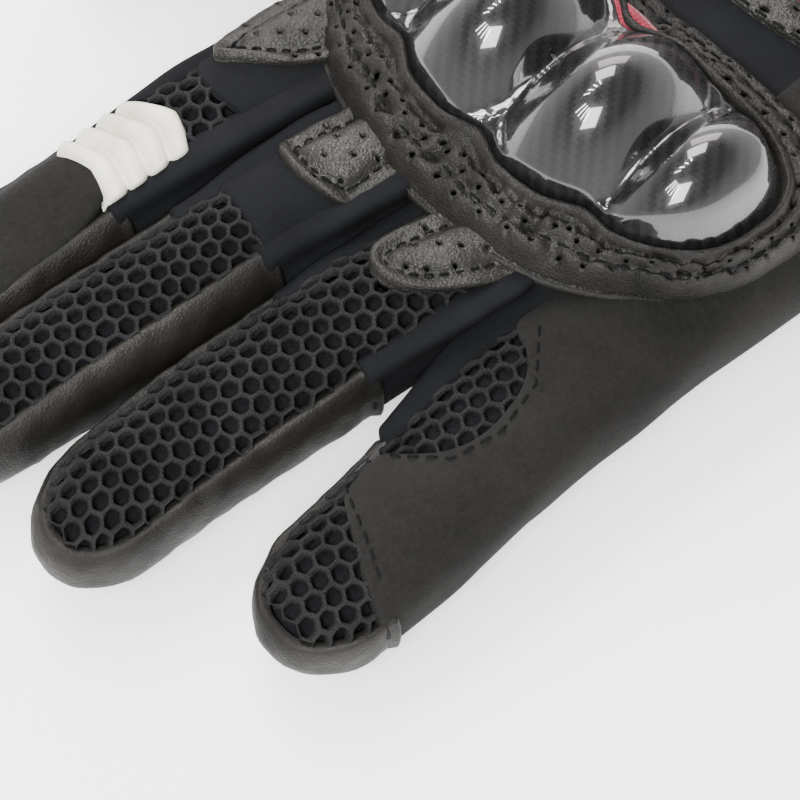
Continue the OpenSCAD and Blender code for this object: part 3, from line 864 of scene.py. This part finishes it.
def make_accordion():
    """Pleated pale insert over the index finger's middle joint, with side ends running under the walls."""
    s0, s1, pleat_mm = 46, 62.4, 4.1
    t0, t1, crown_t = 46, 122, 88

    def surface(u, v, r):
        t = t0 + v * (t1 - t0)
        lean = 0.14 * np.maximum(0, crown_t - t) + 0.06 * np.maximum(0, t - crown_t)
        return INDEX.point(u + lean * (1 - 0.5 * (u - s0) / 16), t, r)

    def rise(u, v):
        spot = flat(u, v * WALL_MM)
        pleat = np.abs(np.sin((u - s0 + 0.3 * waves(spot, 16, 61)) * math.pi / pleat_mm)) ** 0.55
        wrinkle = 0.10 * waves(spot, 5, 62) + 0.16 * (creases(spot, 9, 63) - 1)
        k = smooth(np.minimum(v, 1 - v) * WALL_MM / 1.4) * smooth(np.minimum(u - s0, s1 - u) / 0.8)
        return -0.8 + (1.2 + 1.8 * pleat + wrinkle) * k

    part = patch(surface, np.arange(46.0, 62.6, 0.35), share_steps(30, 0.01, 0.02, 0.98, 0.99), rise)
    INDEX.fit("accordion", part, PALE_LEATHER, only(1, "index_accordion"))


# Each roll: its finger, side, angles from and to, distances from and to, height, noise seed, narrowing.
ROLLS = ((INDEX, "outer_roll", 106, 213, 6, 63, 3.6, 51, 0), (INDEX, "thumb_roll", -33, 50, 6, 63, 1.6, 52, 0),
         (MIDDLE, "outer_roll", 106, 213, 6, 46, 4.0, 53, 6),
         (MIDDLE, "thumb_roll", -33, 56, 6, 53, 3.2, 54, 6),
         (RING, "outer_roll", 116, 213, 6, 49, 4.0, 55, 14), (RING, "thumb_roll", -33, 48, 6, 53, 2.0, 56, 4),
         (PINKY, "thumb_roll", -33, 54, 6, 58, 3.4, 57, 14))


def make_fingers():
    for digit in FINGERS:
        make_lining(digit)
        make_under(digit)
        make_wall(digit)
    make_net(RING, "net", 14, RING.tip - 2.2, 38, 142, 11, side_nodes(RING, "back"))
    make_net(MIDDLE, "net", 40, MIDDLE.tip - 2.2, 36, 128, 12, side_nodes(MIDDLE, "back"))
    make_net(PINKY, "tip_net", 65, PINKY.tip - 2.2, 34, 152, 13, crown=0.3)
    make_net(PINKY, "window_net", 30, 57, 33, 100, 14, crown=0.0)
    make_net(PINKY, "edge_net", 57, 65, 10, 75, 14, crown=0.1)
    make_net(INDEX, "net", 36, 49, 36, 128, 15)
    outline = [(8, 9), (38, 9), (45.6, 8.6), (44.8, 4), (44.8, 0), (45, -4), (44, -8), (8, -9)]
    make_back(MIDDLE, "stretch_patch", outline, STRETCH, 0.9, 21, 0.18)
    outline = [(8, 9), (37, 9), (40, 7), (40.5, 2), (39.5, -2), (37, -8), (8, -9)]
    make_back(INDEX, "stretch_patch", outline, STRETCH, 0.9, 23, 0.18)
    end = INDEX.tip - 2.5
    outline = [(60.5, 8.9), (60.0, 4), (60.6, 0), (63, -6), (86, -7.5), (end - 2, -5.5), (end, 0),
               (end - 2, 6), (86, 8)]
    make_back(INDEX, "suede", outline, SUEDE, 0.7, 25, 0.12)
    for roll in ROLLS:
        make_roll(*roll)
    for digit, seed in ((INDEX, 71), (MIDDLE, 72), (RING, 73)):
        make_flap(digit, seed)
    make_accordion()


def make_webs():
    """Stretch fabric that closes the hand between one finger root and the next."""
    for near, far in ((PINKY, RING), (RING, MIDDLE), (MIDDLE, INDEX)):

        def surface(u, v, r):
            a = near.point(u * 0 - 2, u, -1.0)
            b = far.point(u * 0 - 2, 180 - u, -1.0)
            return a + (b - a) * v[:, None]

        part = patch(surface, steps(-84, 78, 6), np.linspace(0, 1, 5), lambda u, v: 0 * u)
        fixed("hand", f"web_{near.name}_{far.name}", part, STRETCH)


make_fingers()
make_webs()


# ---- hand -------------------------------------------------------------------------
HAND_Y = (-70, -22, 5, 30, 58)
HAND_X = (0, 0, 1, -0.5, -1.5)
HAND_W = (35, 33, 39.5, 43.5, 42.5)
HAND_Z = (16, 16, 17, 17.8, 19)
HAND_UP = (14.5, 14, 14.5, 13.8, 12)
HAND_DOWN = (13, 12, 14.4, 14, 11)
HAND_SECTION = 0.71
HALF_TURN = np.linspace(90, 270, 721)
HALF_SECTION = [43 * power(cosd(HALF_TURN), HAND_SECTION), 13.5 * power(sind(HALF_TURN), HAND_SECTION)]
HAND_RUN = run_along(np.stack(HALF_SECTION, 1))
HAND_RUN = np.interp(180, HALF_TURN, HAND_RUN) - HAND_RUN
# Millimetres of surface per degree: about the mean round the hand, and across its back.
HAND_DEGREE_MM = 0.7
BACK_DEGREE_MM = 0.62


def hand_point(y, t, rise=0.0):
    y, t, rise = matched(y, t, rise)
    high = np.where(sind(t) >= 0, spread(y, HAND_Y, HAND_UP, 12), spread(y, HAND_Y, HAND_DOWN, 12))
    wide = spread(y, HAND_Y, HAND_W, 12) + rise
    x = spread(y, HAND_Y, HAND_X, 12) + wide * power(cosd(t), HAND_SECTION)
    z = spread(y, HAND_Y, HAND_Z, 12) + (high + rise) * power(sind(t), HAND_SECTION)
    return np.stack([x, y, z], 1)


def on_back(u, v, r):
    """The point at u mm along the hand and v mm of surface from the middle of its back."""
    return hand_point(u, 90 + v / BACK_DEGREE_MM, r)


def outer_surface(s, b, rise=0.0):
    """The outer side of the hand running on into the little finger: s from its knuckle and b up from
    the edge, in mm."""
    s, b, rise = matched(s, b, rise)
    share = smooth((s + 14) / 32)[:, None]
    on_hand = hand_point(PINKY.knuckle[1] + s, np.interp(-b, -HAND_RUN, HALF_TURN), rise)
    on_finger = PINKY.point(s, PINKY.from_edge(s, b), rise)
    return on_hand * (1 - share) + on_finger * share


def glove_top(x):
    """Height of the glove's back under the protector."""
    return 19 + 13 * np.maximum(0.02, 1 - (np.abs(x + 1.5) / 44) ** 2.8) ** 0.357


def make_outer_suede():
    """Suede from the wrist over the outer side of the hand and the little finger, with a mesh window."""

    def laid_out(points):
        """Points (s, distance to the thumb side) as points (s, height above the outer edge)."""
        return [(s, PINKY.edge_run(s, lat)) for s, lat in points]

    outline = [(-74, 27), (-40, 30), (-20, 31), (-6, 30), (6, 27.5)]
    outline += laid_out([(16, 9.5), (24, 10.6), (31.5, 11.3), (33.4, 9.5), (34.0, 6.2), (38.0, 2.0),
                         (45.4, 0.2), (52.5, 1.4), (57.2, 5.2), (59.6, 8.6), (62, 9.0), (66.5, 8.0),
                         (68.6, 7.4), (70.4, 4.6), (73, -1.3), (75.6, -6.5)])
    outline += [(77, 3.0), (76.5, -4), (74, -7), (50, -7.5), (0, -8.5), (-74, -8.5)]

    def rise(u, v):
        spot = flat(u, v)
        return 0.75 + 0.16 * waves(spot, 16, 81) + 0.22 * (creases(spot, 40, 82) - 1)

    part = cut_panel(outer_surface, rounded(outline, 2), rise, grid=1.9, wall=1.1, fold=0.8)
    nodes = (["outer_side_panel", "pinky_base_back", "pinky_base_sides"], ["pinky_mid_back"],
             ["pinky_tip_back"])
    PINKY.fit("outer_suede", part, SUEDE, lambda k: nodes[k])
    window_rim = [(30, 7.6), (31.6, 6.0), (37, 0.8), (45.4, -1.3), (53.5, 0.2), (58.8, 5.4), (60.6, 8.6)]
    tip_rim = [(67, 8.2), (68.8, 4.4), (71.2, -1.8), (73.6, -7)]
    for label, rim in (("window", window_rim), ("tip", tip_rim)):
        sewn = stitches(outer_surface, laid_out(rim), 0.95, length=1.8, gap=1.1, radius=0.22)
        PINKY.fit(f"{label}_stitches", sewn, THREAD)


make_outer_suede()

# Line of the finger roots, where the palm leather ends, and the rear end of that leather.
HAND_FRONT_X = (-44, -32.5, -11, 0, 10, 30.5, 44)
HAND_FRONT_Y = (50.6, 52.7, 58, 58.5, 62, 57.5, 55)
PALM_REAR_Y = -17
PALM_MM = 75
WRIST_Y = -23.5


def bend_at_wrist(piece):
    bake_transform(piece)


def make_hand_panels():
    """Stretch back, leather palm, thumb-side strip and the lining of the whole hand and cuff."""

    def rise(u, v):
        spot = flat(u, v * HAND_DEGREE_MM)
        return 0.4 + 0.2 * waves(spot, 20, 101) + 0.3 * (creases(spot, 40, 102) - 1)

    us, vs = steps(WRIST_Y + 2, 57, 2.0), steps(24, 156, 3.0, 2.0)
    back = patch(hand_point, us, vs, tucked(us, vs, rise, 1.0, HAND_DEGREE_MM, 0.5, 0.8))
    fixed("hand", "hand_back", back, STRETCH, "hand_back_panel")

    def palm(u, v, r):
        x = hand_point(np.full(len(v), 56.0), v, 0.0)
        low = np.maximum(0, 19 - x[:, 2])
        front = np.interp(x[:, 0], HAND_FRONT_X, HAND_FRONT_Y) - 1 - low * math.tan(math.radians(33))
        return hand_point(PALM_REAR_Y + u * (front - PALM_REAR_Y), v, r)

    def palm_rise(u, v):
        spot = flat(u * PALM_MM, v * HAND_DEGREE_MM)
        return 0.5 + 0.25 * waves(spot, 18, 103) + 0.5 * (creases(spot, 30, 104, (1, 0.4, 0)) - 1)

    us, vs = share_steps(46, 0.005, 0.01, 0.985, 0.993), steps(196, 342, 3.0, 2.0)
    part = patch(palm, us, vs, tucked(us, vs, palm_rise, PALM_MM, HAND_DEGREE_MM, 0.5, 0.9))
    fixed("hand", "palm_leather", part, SMOOTH_LEATHER, "palm_panel")
    for v in (206, 270, 331):
        line = [(u, v + 6 * math.sin(u * 3)) for u in np.linspace(0.05, 0.95, 30)]
        fixed("hand", f"palm_stitches_{v}", stitches(palm, line, 0.75), THREAD)

    us, vs = steps(WRIST_Y + 2, 56, 2.0), steps(-22, 28, 3.0, 2.0)
    side = patch(hand_point, us, vs, tucked(us, vs, rise, 1.0, HAND_DEGREE_MM, 0.5, 0.8))
    fixed("hand", "thumb_side", side, STRETCH, "thumb_side_panel")

    us = np.linspace(-64, 55, 50)
    inner = patch(hand_point, us, full_turn(72), lambda u, v: np.full(len(u), -2.3), closed=True)
    bend_at_wrist(add_mesh("hand_lining", inner, LINING))


def make_heel_pad():
    """Raised leather pad on the heel of the palm, with a groove near its edge."""
    outline = [(-21, -11), (-17, -15), (17, -15), (21, -11), (21, 11), (17, 15), (-17, 15), (-21, 11)]
    outline = rounded(outline, 2)
    under = lambda u, v, r: np.stack([u, v, 2.6 - r], 1)

    def rise(u, v):
        inset = edge_distance(np.stack([u, v], 1), outline)
        return 2.6 - 0.9 * bell(inset, 3, 0.5) * np.where(inset > 0.1, 1, 0)

    part = cut_panel(under, outline, rise, grid=1.5, wall=1.6, fold=1.3)
    fixed("hand", "heel_pad", part, SMOOTH_LEATHER, "palm_heel_pad")


make_hand_panels()
make_heel_pad()


# ---- thumb ------------------------------------------------------------------------
THUMB = Digit("thumb", (54.5, 34.5), 28, (32, 30), (0, 0, 0), (11, 10.5, 9.6), (15.5, 13.5, 10.5),
              (9.8, 9.4, 8.6), (9.8, 9.4, 8.6), ["hand", "thumb_base", "thumb_tip"], (9.0, 8.0))


def make_thumb():
    make_lining(THUMB, -4.0)

    def gusset(u, v, r):
        """From a mouth in the side of the hand to the root of the thumb."""
        y = 17 - (21 + r) * power(cosd(v), SECTION)
        level = hand_point(y, np.zeros(len(y)))[:, 0] - 1.2
        mouth = np.stack([level, y, 16.4 + (8.0 + r) * power(sind(v), SECTION)], 1)
        root = THUMB.point(np.full(len(u), 4.0), v, r)
        share = (u ** 1.15)[:, None]
        swell = 1.6 * np.sin(u * math.pi)[:, None] * np.stack([u * 0 + 0.4, u * 0, power(sind(v), 1)], 1)
        return mouth * (1 - share) + root * share + swell

    def rise(u, v):
        spot = flat(u * 24, v * 0.25)
        return 0.1 + 0.25 * waves(spot, 9, 111) + 0.5 * (creases(spot, 14, 112) - 1) - 0.7 * (u > 0.99)

    part = patch(gusset, np.linspace(0, 1, 22), full_turn(60), rise, closed=True)
    THUMB.fit("gusset", part, SMOOTH_LEATHER, only(0, "thumb_gusset"))
    us = to_tip(THUMB, steps(0, THUMB.bend, 1.8), 0.05, 4, 90, 12)
    joints = ("base", "tip")
    for label, t0, t1, material in (("back", 20, 160, SUEDE), ("palm", 200, 340, SMOOTH_LEATHER)):

        def panel(u, v):
            spot = flat(u, v * DEGREE_MM)
            edge = np.minimum(v - t0, t1 - v) * DEGREE_MM
            k = smooth(edge / 1.0) * smooth((u + 0.001) / 0.9)
            return -0.5 + k * (1.2 + 0.14 * waves(spot, 9, 113) + 0.25 * (creases(spot, 20, 114) - 1))

        part = patch(THUMB.point, us, steps(t0, t1, 4, 2.2), panel)
        THUMB.fit(label, part, material, lambda k: [f"thumb_{joints[k]}_{label}"])
    us = steps(0, 2 * THUMB.bend + TIP_ARC, 1.6)
    part = patch(THUMB.wrap, us, steps(-32, 32, 5), lambda u, v: 0.25 + 0.5 * cosd(v * 2.8))
    THUMB.fit("side", part, STRETCH)
    for t in (26, 154):
        line = [(s, t) for s in np.arange(3, THUMB.bend + 6, 2.0)]
        THUMB.fit(f"stitches_{t}", stitches(THUMB.point, line, 0.75), THREAD)


make_thumb()


# ---- knuckle protector ----------------------------------------------------------------
SHELL_X, SHELL_HALF_X, SHELL_HALF_Y = 2.0, 38.0, 17.0
SHELL_TOP = 5.7
SHELL_SECTION = 0.72
DOME_H = 12.0
# Each dome: x, y past the arc of the knuckles, half width, half depth, share of DOME_H, and the ledge
# round its foot.
DOMES = ((-27, 0, 10.5, 15.0, 0.85, 0.5), (-9.5, 0, 12.0, 16.0, 1.0, 1.3), (11.5, 1, 12.0, 15.5, 0.95, 0.5),
         (30, 0, 10.0, 14.0, 0.8, 0.2))
# Where the front edge dips in between the domes, and the one place where the rear edge does.
NOTCHES = (-19, 1, 21)
REAR_NOTCH = 0.8


def arc_y(x):
    return 59.2 - ((x - 10) / 46) ** 2 * 8


def plan(r, phi, grow):
    """Plan point of the protector at share r of the shell's outline and angle phi, grown by grow mm."""
    x = SHELL_X + (SHELL_HALF_X * r + grow) * power(cosd(phi), SHELL_SECTION)
    front = smooth(sind(phi) * 1.6) * r * r
    rear = smooth(-sind(phi) * 1.6) * r * r
    dent = sum(2.3 * bell(x, notch, 4.0) for notch in NOTCHES) * front
    dent = dent + 3.2 * bell(x, REAR_NOTCH, 4.2) * rear
    fade = np.clip(1 - np.maximum(grow, 0) / 7, 0, 1)
    y = arc_y(x) + (SHELL_HALF_Y * r + grow - dent * fade) * power(sind(phi), SHELL_SECTION)
    return x, y


def shell_height(x, y):
    """Height of the domes over the shell's base, where they run into each other softly."""
    soft = 0.8
    total = np.ones(len(x))
    for cx, oy, hw, hd, share, ledge in DOMES:
        r = np.sqrt(((x - cx) / hw) ** 2 + ((y - arc_y(cx) - oy) / hd) ** 2)
        cap = DOME_H * share * np.clip(1 - (r / 1.06) ** 2, 0, 1) ** 1.05
        total = total + np.exp((cap + ledge * smooth((1.26 - r) / 0.12)) / soft) - 1
    return soft * np.log(total)


def make_shell():
    """The hard shell, with a short wall down from its edge."""
    around = 360

    def surface(u, v, r):
        x, y = plan(u, v, 0.0)
        rim = smooth((1 - u) / 0.09)
        z = glove_top(x) + SHELL_TOP - 0.9 + shell_height(x, y) * rim + 0.9 * rim + r
        return np.stack([x, y, z], 1)

    us = np.linspace(0.004, 1, 64)
    points, faces = patch(surface, us, full_turn(around), lambda u, v: 0 * u, closed=True)
    edge = list(range(len(points) - around, len(points)))
    low = [i + around for i in edge]
    faces = list(faces) + list(zip(edge, low, low[1:] + low[:1], edge[1:] + edge[:1]))
    faces.append(tuple(reversed(range(around))))
    points = np.concatenate([points, points[edge] - (0, 0, 1.6)])
    part = points, [tuple(reversed(f)) for f in faces]
    fixed("hand", "knuckle_shell_visual", part, CARBON, "knuckle_shell")


LOOP_PHI = np.linspace(0, 360, 1441)
LOOP_RUN = run_along(np.stack(plan(1.0, LOOP_PHI, 4.5), 1))
LOOP = LOOP_RUN[-1]
# Width of the leather border in mm at angles round the shell.
WIDTH_PHI = (0, 45, 90, 112, 135, 160, 180, 205, 235, 270, 315, 360)
WIDTH = (6.0, 7.0, 8.4, 7.2, 4.4, 3.8, 3.8, 5.0, 7.0, 6.0, 6.5, 6.0)


def border(u, v, r=0.0):
    """Surface of the leather border: u mm round the shell, v mm out from it (9 is the outer edge)."""
    phi = np.interp(u % LOOP, LOOP_RUN, LOOP_PHI)
    width = np.interp(phi, WIDTH_PHI, WIDTH)
    x, y = plan(1.0, phi, np.where(v > 0, v * width / 9.0, v))
    return np.stack([x, y, glove_top(x) + r], 1)


# Height of the border across its width: a roll, a stitched groove and a lower roll.
PROFILE_V = (-1.2, -0.4, 0.3, 1.0, 1.7, 2.3, 3.0, 4.0, 5.0, 5.8, 6.6, 7.6, 8.4, 9.1, 9.8, 10.6)
PROFILE_R = (3.4, 5.4, 6.8, 6.8, 5.5, 4.1, 5.2, 5.3, 4.2, 2.8, 3.6, 3.4, 2.2, 0.7, -1.0, -2.6)
GROOVE_V = 5.8


def make_border():
    """Perforated leather round the shell, its stitching, and the foam ring under it."""
    low, high = PROFILE_V[0], PROFILE_V[-1]
    outline = [(0, low), (LOOP, low), (LOOP, high), (0, high)]
    rng = np.random.default_rng(9)
    holes = []
    for row, v in enumerate((3.2, 4.4, 7.2)):
        for u in np.arange(3 + row * 1.7, LOOP - 3, 4.3):
            holes.append((u + rng.uniform(-0.7, 0.7), v + rng.uniform(-0.45, 0.45)))

    def rise(u, v):
        spot = border(u, v)
        fine = flat(u, v * 1.3)
        base = sum(np.interp(v + k, PROFILE_V, PROFILE_R) for k in (-0.2, 0, 0.2)) / 3
        body = smooth((v - 0.2) / 1.5) * smooth((10.4 - v) / 2)
        front = 0.45 + 0.55 * smooth((spot[:, 1] - arc_y(spot[:, 0])) / 8)
        folds = 0.5 * waves(fine, 9, 201) + 1.3 * (creases(fine, 9, 203, (1, 0.4, 0)) - 1)
        folds = folds + 0.5 * waves(fine, 4.5, 202, along=(1, 0.5, 0))
        return base + folds * body * front

    part = cut_panel(border, outline, rise, holes, grid=0.8, wall=1.2, fold=0.6)
    fixed("hand", "protector_border", part, BORDER_LEATHER, "protector_surround")
    line = [(u, GROOVE_V) for u in np.linspace(0, LOOP, 300)]
    fixed("hand", "border_stitches", stitches(border, line, 3.1, length=2.0, gap=1.1, radius=0.24), THREAD)
    vs, height = np.array([-5.0, -3.5, -2.2, -1.2, -0.2, 0.6, 1.4]), (0.6, 3.2, 3.7, 3.7, 3.4, 2.6, 0.6)
    part = patch(border, np.linspace(0, LOOP, 200)[:-1], vs, lambda u, v: np.interp(v, vs, height))
    fixed("hand", "protector_foam", part, FOAM, "protector_pad")


def make_red_insert():
    """Small red cushion in the notch at the rear of the protector."""
    outline = [(-6.5, 41.4), (-2, 41.0), (3, 41.2), (8, 42.4), (6.5, 47.0), (1, 50), (-4.5, 47.0)]
    surface = lambda u, v, r: np.stack([u, v, glove_top(u) + 3.9 + r], 1)
    part = cut_panel(surface, rounded(outline, 2), lambda u, v: 2.0 + 0 * u, grid=0.9, wall=2.6, fold=1.4)
    fixed("hand", "red_insert_visual", part, RED, "red_insert")


def make_rear_band():
    """Curved perforated leather strip across the back behind the protector, with a red strip sewn
    behind it."""
    wide = 7.0

    def across(u, v, r):
        t = 90 + v / BACK_DEGREE_MM
        x = hand_point(np.full(len(t), 25.0), t)[:, 0]
        return hand_point(29 - ((x - 10) / 46) ** 2 * 14 - u, t, r)

    outline = [(0, -36), (0, 37), (wide, 37), (wide, -36)]
    holes = [(u, v) for k, u in enumerate((1.9, 4.9)) for v in np.arange(-34 + 2 * k, 36, 4.1)]

    def rise(u, v):
        spot = flat(u, v)
        hump = 0.9 * np.sin(np.clip(u / wide, 0, 1) * math.pi)
        return 1.3 + hump + 0.3 * waves(spot, 7, 211) + 0.7 * (creases(spot, 11, 212) - 1)

    part = cut_panel(across, outline, rise, holes, grid=0.9, wall=1.5, fold=0.8)
    fixed("hand", "rear_band", part, PERFORATED, "rear_leather_band")
    for k, u in enumerate((0.9, 6.1)):
        line = [(u, v) for v in np.linspace(-35, 36, 60)]
        fixed("hand", f"rear_band_stitches_{k}", stitches(across, line, 1.75), THREAD)
    outline = [(6.4, -20), (6.4, 20), (9.4, 20), (9.4, -20)]
    part = cut_panel(across, outline, lambda u, v: 1.2 + 0 * u, grid=1.2, wall=1.2, fold=1.0)
    fixed("hand", "red_strip", part, RED)


make_shell()
make_border()
make_red_insert()
make_rear_band()


# ---- cuff and strap -------------------------------------------------------------------
def make_cuff():
    """Soft sleeve from the hand to the wrist opening, and the leather binding round that opening."""
    vs = full_turn(120)

    def rise(u, v):
        spot = hand_point(u, v)
        fold = 0.6 * bell(u, -23.5, 1.6) + 0.4 * bell(u, -28.5, 1.4)
        calm = smooth(np.abs(v - 88) / 20 - 2.2)
        edge = smooth((-15 - u) / 1.2)
        wrinkle = (0.25 * waves(spot, 16, 221) - fold) * calm * edge
        return -0.4 + edge * (0.7 + 0.3 * smooth((u + 36) / 6)) + wrinkle

    part = patch(hand_point, steps(-65, -15, 1.8), vs, rise, closed=True)
    piece = add_mesh("cuff_neoprene", part, STRETCH)
    bend_at_wrist(piece)
    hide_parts("cuff_shell")
    turns = [2 * math.pi * k / 10 for k in range(10)]
    ring = [(-64.4 + 1.1 * math.cos(turn), -0.9 + 1.9 * math.sin(turn)) for turn in turns]
    points = np.concatenate([hand_point(np.full(len(vs), y), vs, r) for y, r in ring + ring[:1]])
    fixed("cuff", "cuff_binding", (points, grid_faces(11, len(vs), closed=True)), SMOOTH_LEATHER)


def cuff_patch(body, name, angles, ys, top, wall, material, cut, *stands_for):
    """A flat piece round the cuff between two angles and two distances, with its corners cut off."""
    a, b = [(t - 90) * BACK_DEGREE_MM for t in angles]
    y0, y1 = ys
    outline = [(y0, a + cut), (y0, b - cut), (y0 + cut, b), (y1 - cut, b), (y1, b - cut), (y1, a + cut),
               (y1 - cut, a), (y0 + cut, a)]
    rise = lambda u, v: top + 0.06 * waves(flat(u, v), 9, 7)
    part = cut_panel(on_back, rounded(outline, 2), rise, grid=1.5, wall=wall, fold=min(0.8, wall))
    fixed(body, name, part, material, *stands_for)


def make_strap():
    cuff_patch("strap", "strap_leather", (48, 128), (-59, -35), 4.0, 0.9, SMOOTH_LEATHER, 3.0,
               "closure_strap")
    cuff_patch("strap", "strap_backing", (49, 127), (-58.4, -35.6), 3.1, 0.9, STRETCH, 3.0)
    cuff_patch("strap", "strap_hook", (100, 126), (-57, -37), 2.2, 0.9, TAPE, 1.2, "hook_patch")
    cuff_patch("cuff", "cuff_loop", (88, 128), (-58, -36), 0.95, 0.8, TAPE, 1.2, "loop_patch")
    cuff_patch("strap", "pull_tab_visual", (114, 133), (-54, -40), 5.6, 1.4, RUBBER, 2.0, "pull_tab")
    edge = rounded([(-57.6, -24.6), (-57.6, 22.2), (-36.4, 22.2), (-36.4, -24.6)], 2)
    fixed("strap", "strap_stitches", stitches(on_back, edge, 4.05, closed=True), THREAD)


make_cuff()
make_strap()


# ---- stage ------------------------------------------------------------------------
def make_stage():
    paint = Paint("floor")
    paint.ramp("Base Color", paint.noise(3, 3), (0.3, (0.91,) * 3), (0.7, (0.93,) * 3))
    paint.uniform({"Roughness": 1.0, "Specular IOR Level": 0.0, "Emission Color": (1, 1, 1, 1),
                   "Emission Strength": 0.80})
    mesh = bpy.data.meshes.new("floor")
    r = 6.0
    mesh.from_pydata([(-r, -r, 0), (r, -r, 0), (r, r, 0), (-r, r, 0)], [], [(0, 1, 2, 3)])
    mesh.materials.append(paint.material)
    floor = bpy.data.objects.new("floor", mesh)
    bpy.context.collection.objects.link(floor)


def area_light(name, at, target, size, power_w, color=(1, 1, 1)):
    data = bpy.data.lights.new(name, "AREA")
    data.shape = "RECTANGLE"
    data.size, data.size_y = size
    data.energy = power_w
    data.color = color
    light = bpy.data.objects.new(name, data)
    light.location = at
    light.rotation_euler = (Vector(target) - Vector(at)).to_track_quat("-Z", "Y").to_euler()
    bpy.context.collection.objects.link(light)


def make_lights():
    """Soft white studio: dark overhead, bright all round, and banks of strip lamps for the gloss."""
    world = bpy.data.worlds.new("world")
    world.use_nodes = True
    nodes, links = world.node_tree.nodes, world.node_tree.links
    where = nodes.new("ShaderNodeTexCoord")
    apart = nodes.new("ShaderNodeSeparateXYZ")
    links.new(where.outputs["Generated"], apart.inputs[0])
    stops = [(0.0, (1.25, 1.22, 1.22)), (0.34, (0.95, 0.92, 0.92)), (0.60, (0.22, 0.22, 0.22))]
    links.new(ramp_node(nodes, links, apart.outputs[2], stops), nodes["Background"].inputs[0])
    nodes["Background"].inputs[1].default_value = 1.5
    bpy.context.scene.world = world
    target = (-0.01, 0.08, 0.0)
    area_light("key", (-0.75, 1.0, 1.6), target, (0.8, 0.8), 66)
    area_light("fill", (1.0, -0.5, 1.3), target, (0.8, 0.8), 40, (1.0, 0.96, 0.96))
    area_light("rear_panel", (0.75, -0.55, 0.40), target, (0.6, 0.35), 5, (1.0, 0.90, 0.90))
    for k in range(4):
        area_light(f"front_strip_{k}", (-0.30 + 0.16 * k, 0.75, 1.05), target, (0.035, 0.30), 3.2)
        area_light(f"side_strip_{k}", (0.50, 0.45 - 0.16 * k, 1.15), target, (0.035, 0.22), 2.6)


make_stage()
make_lights()
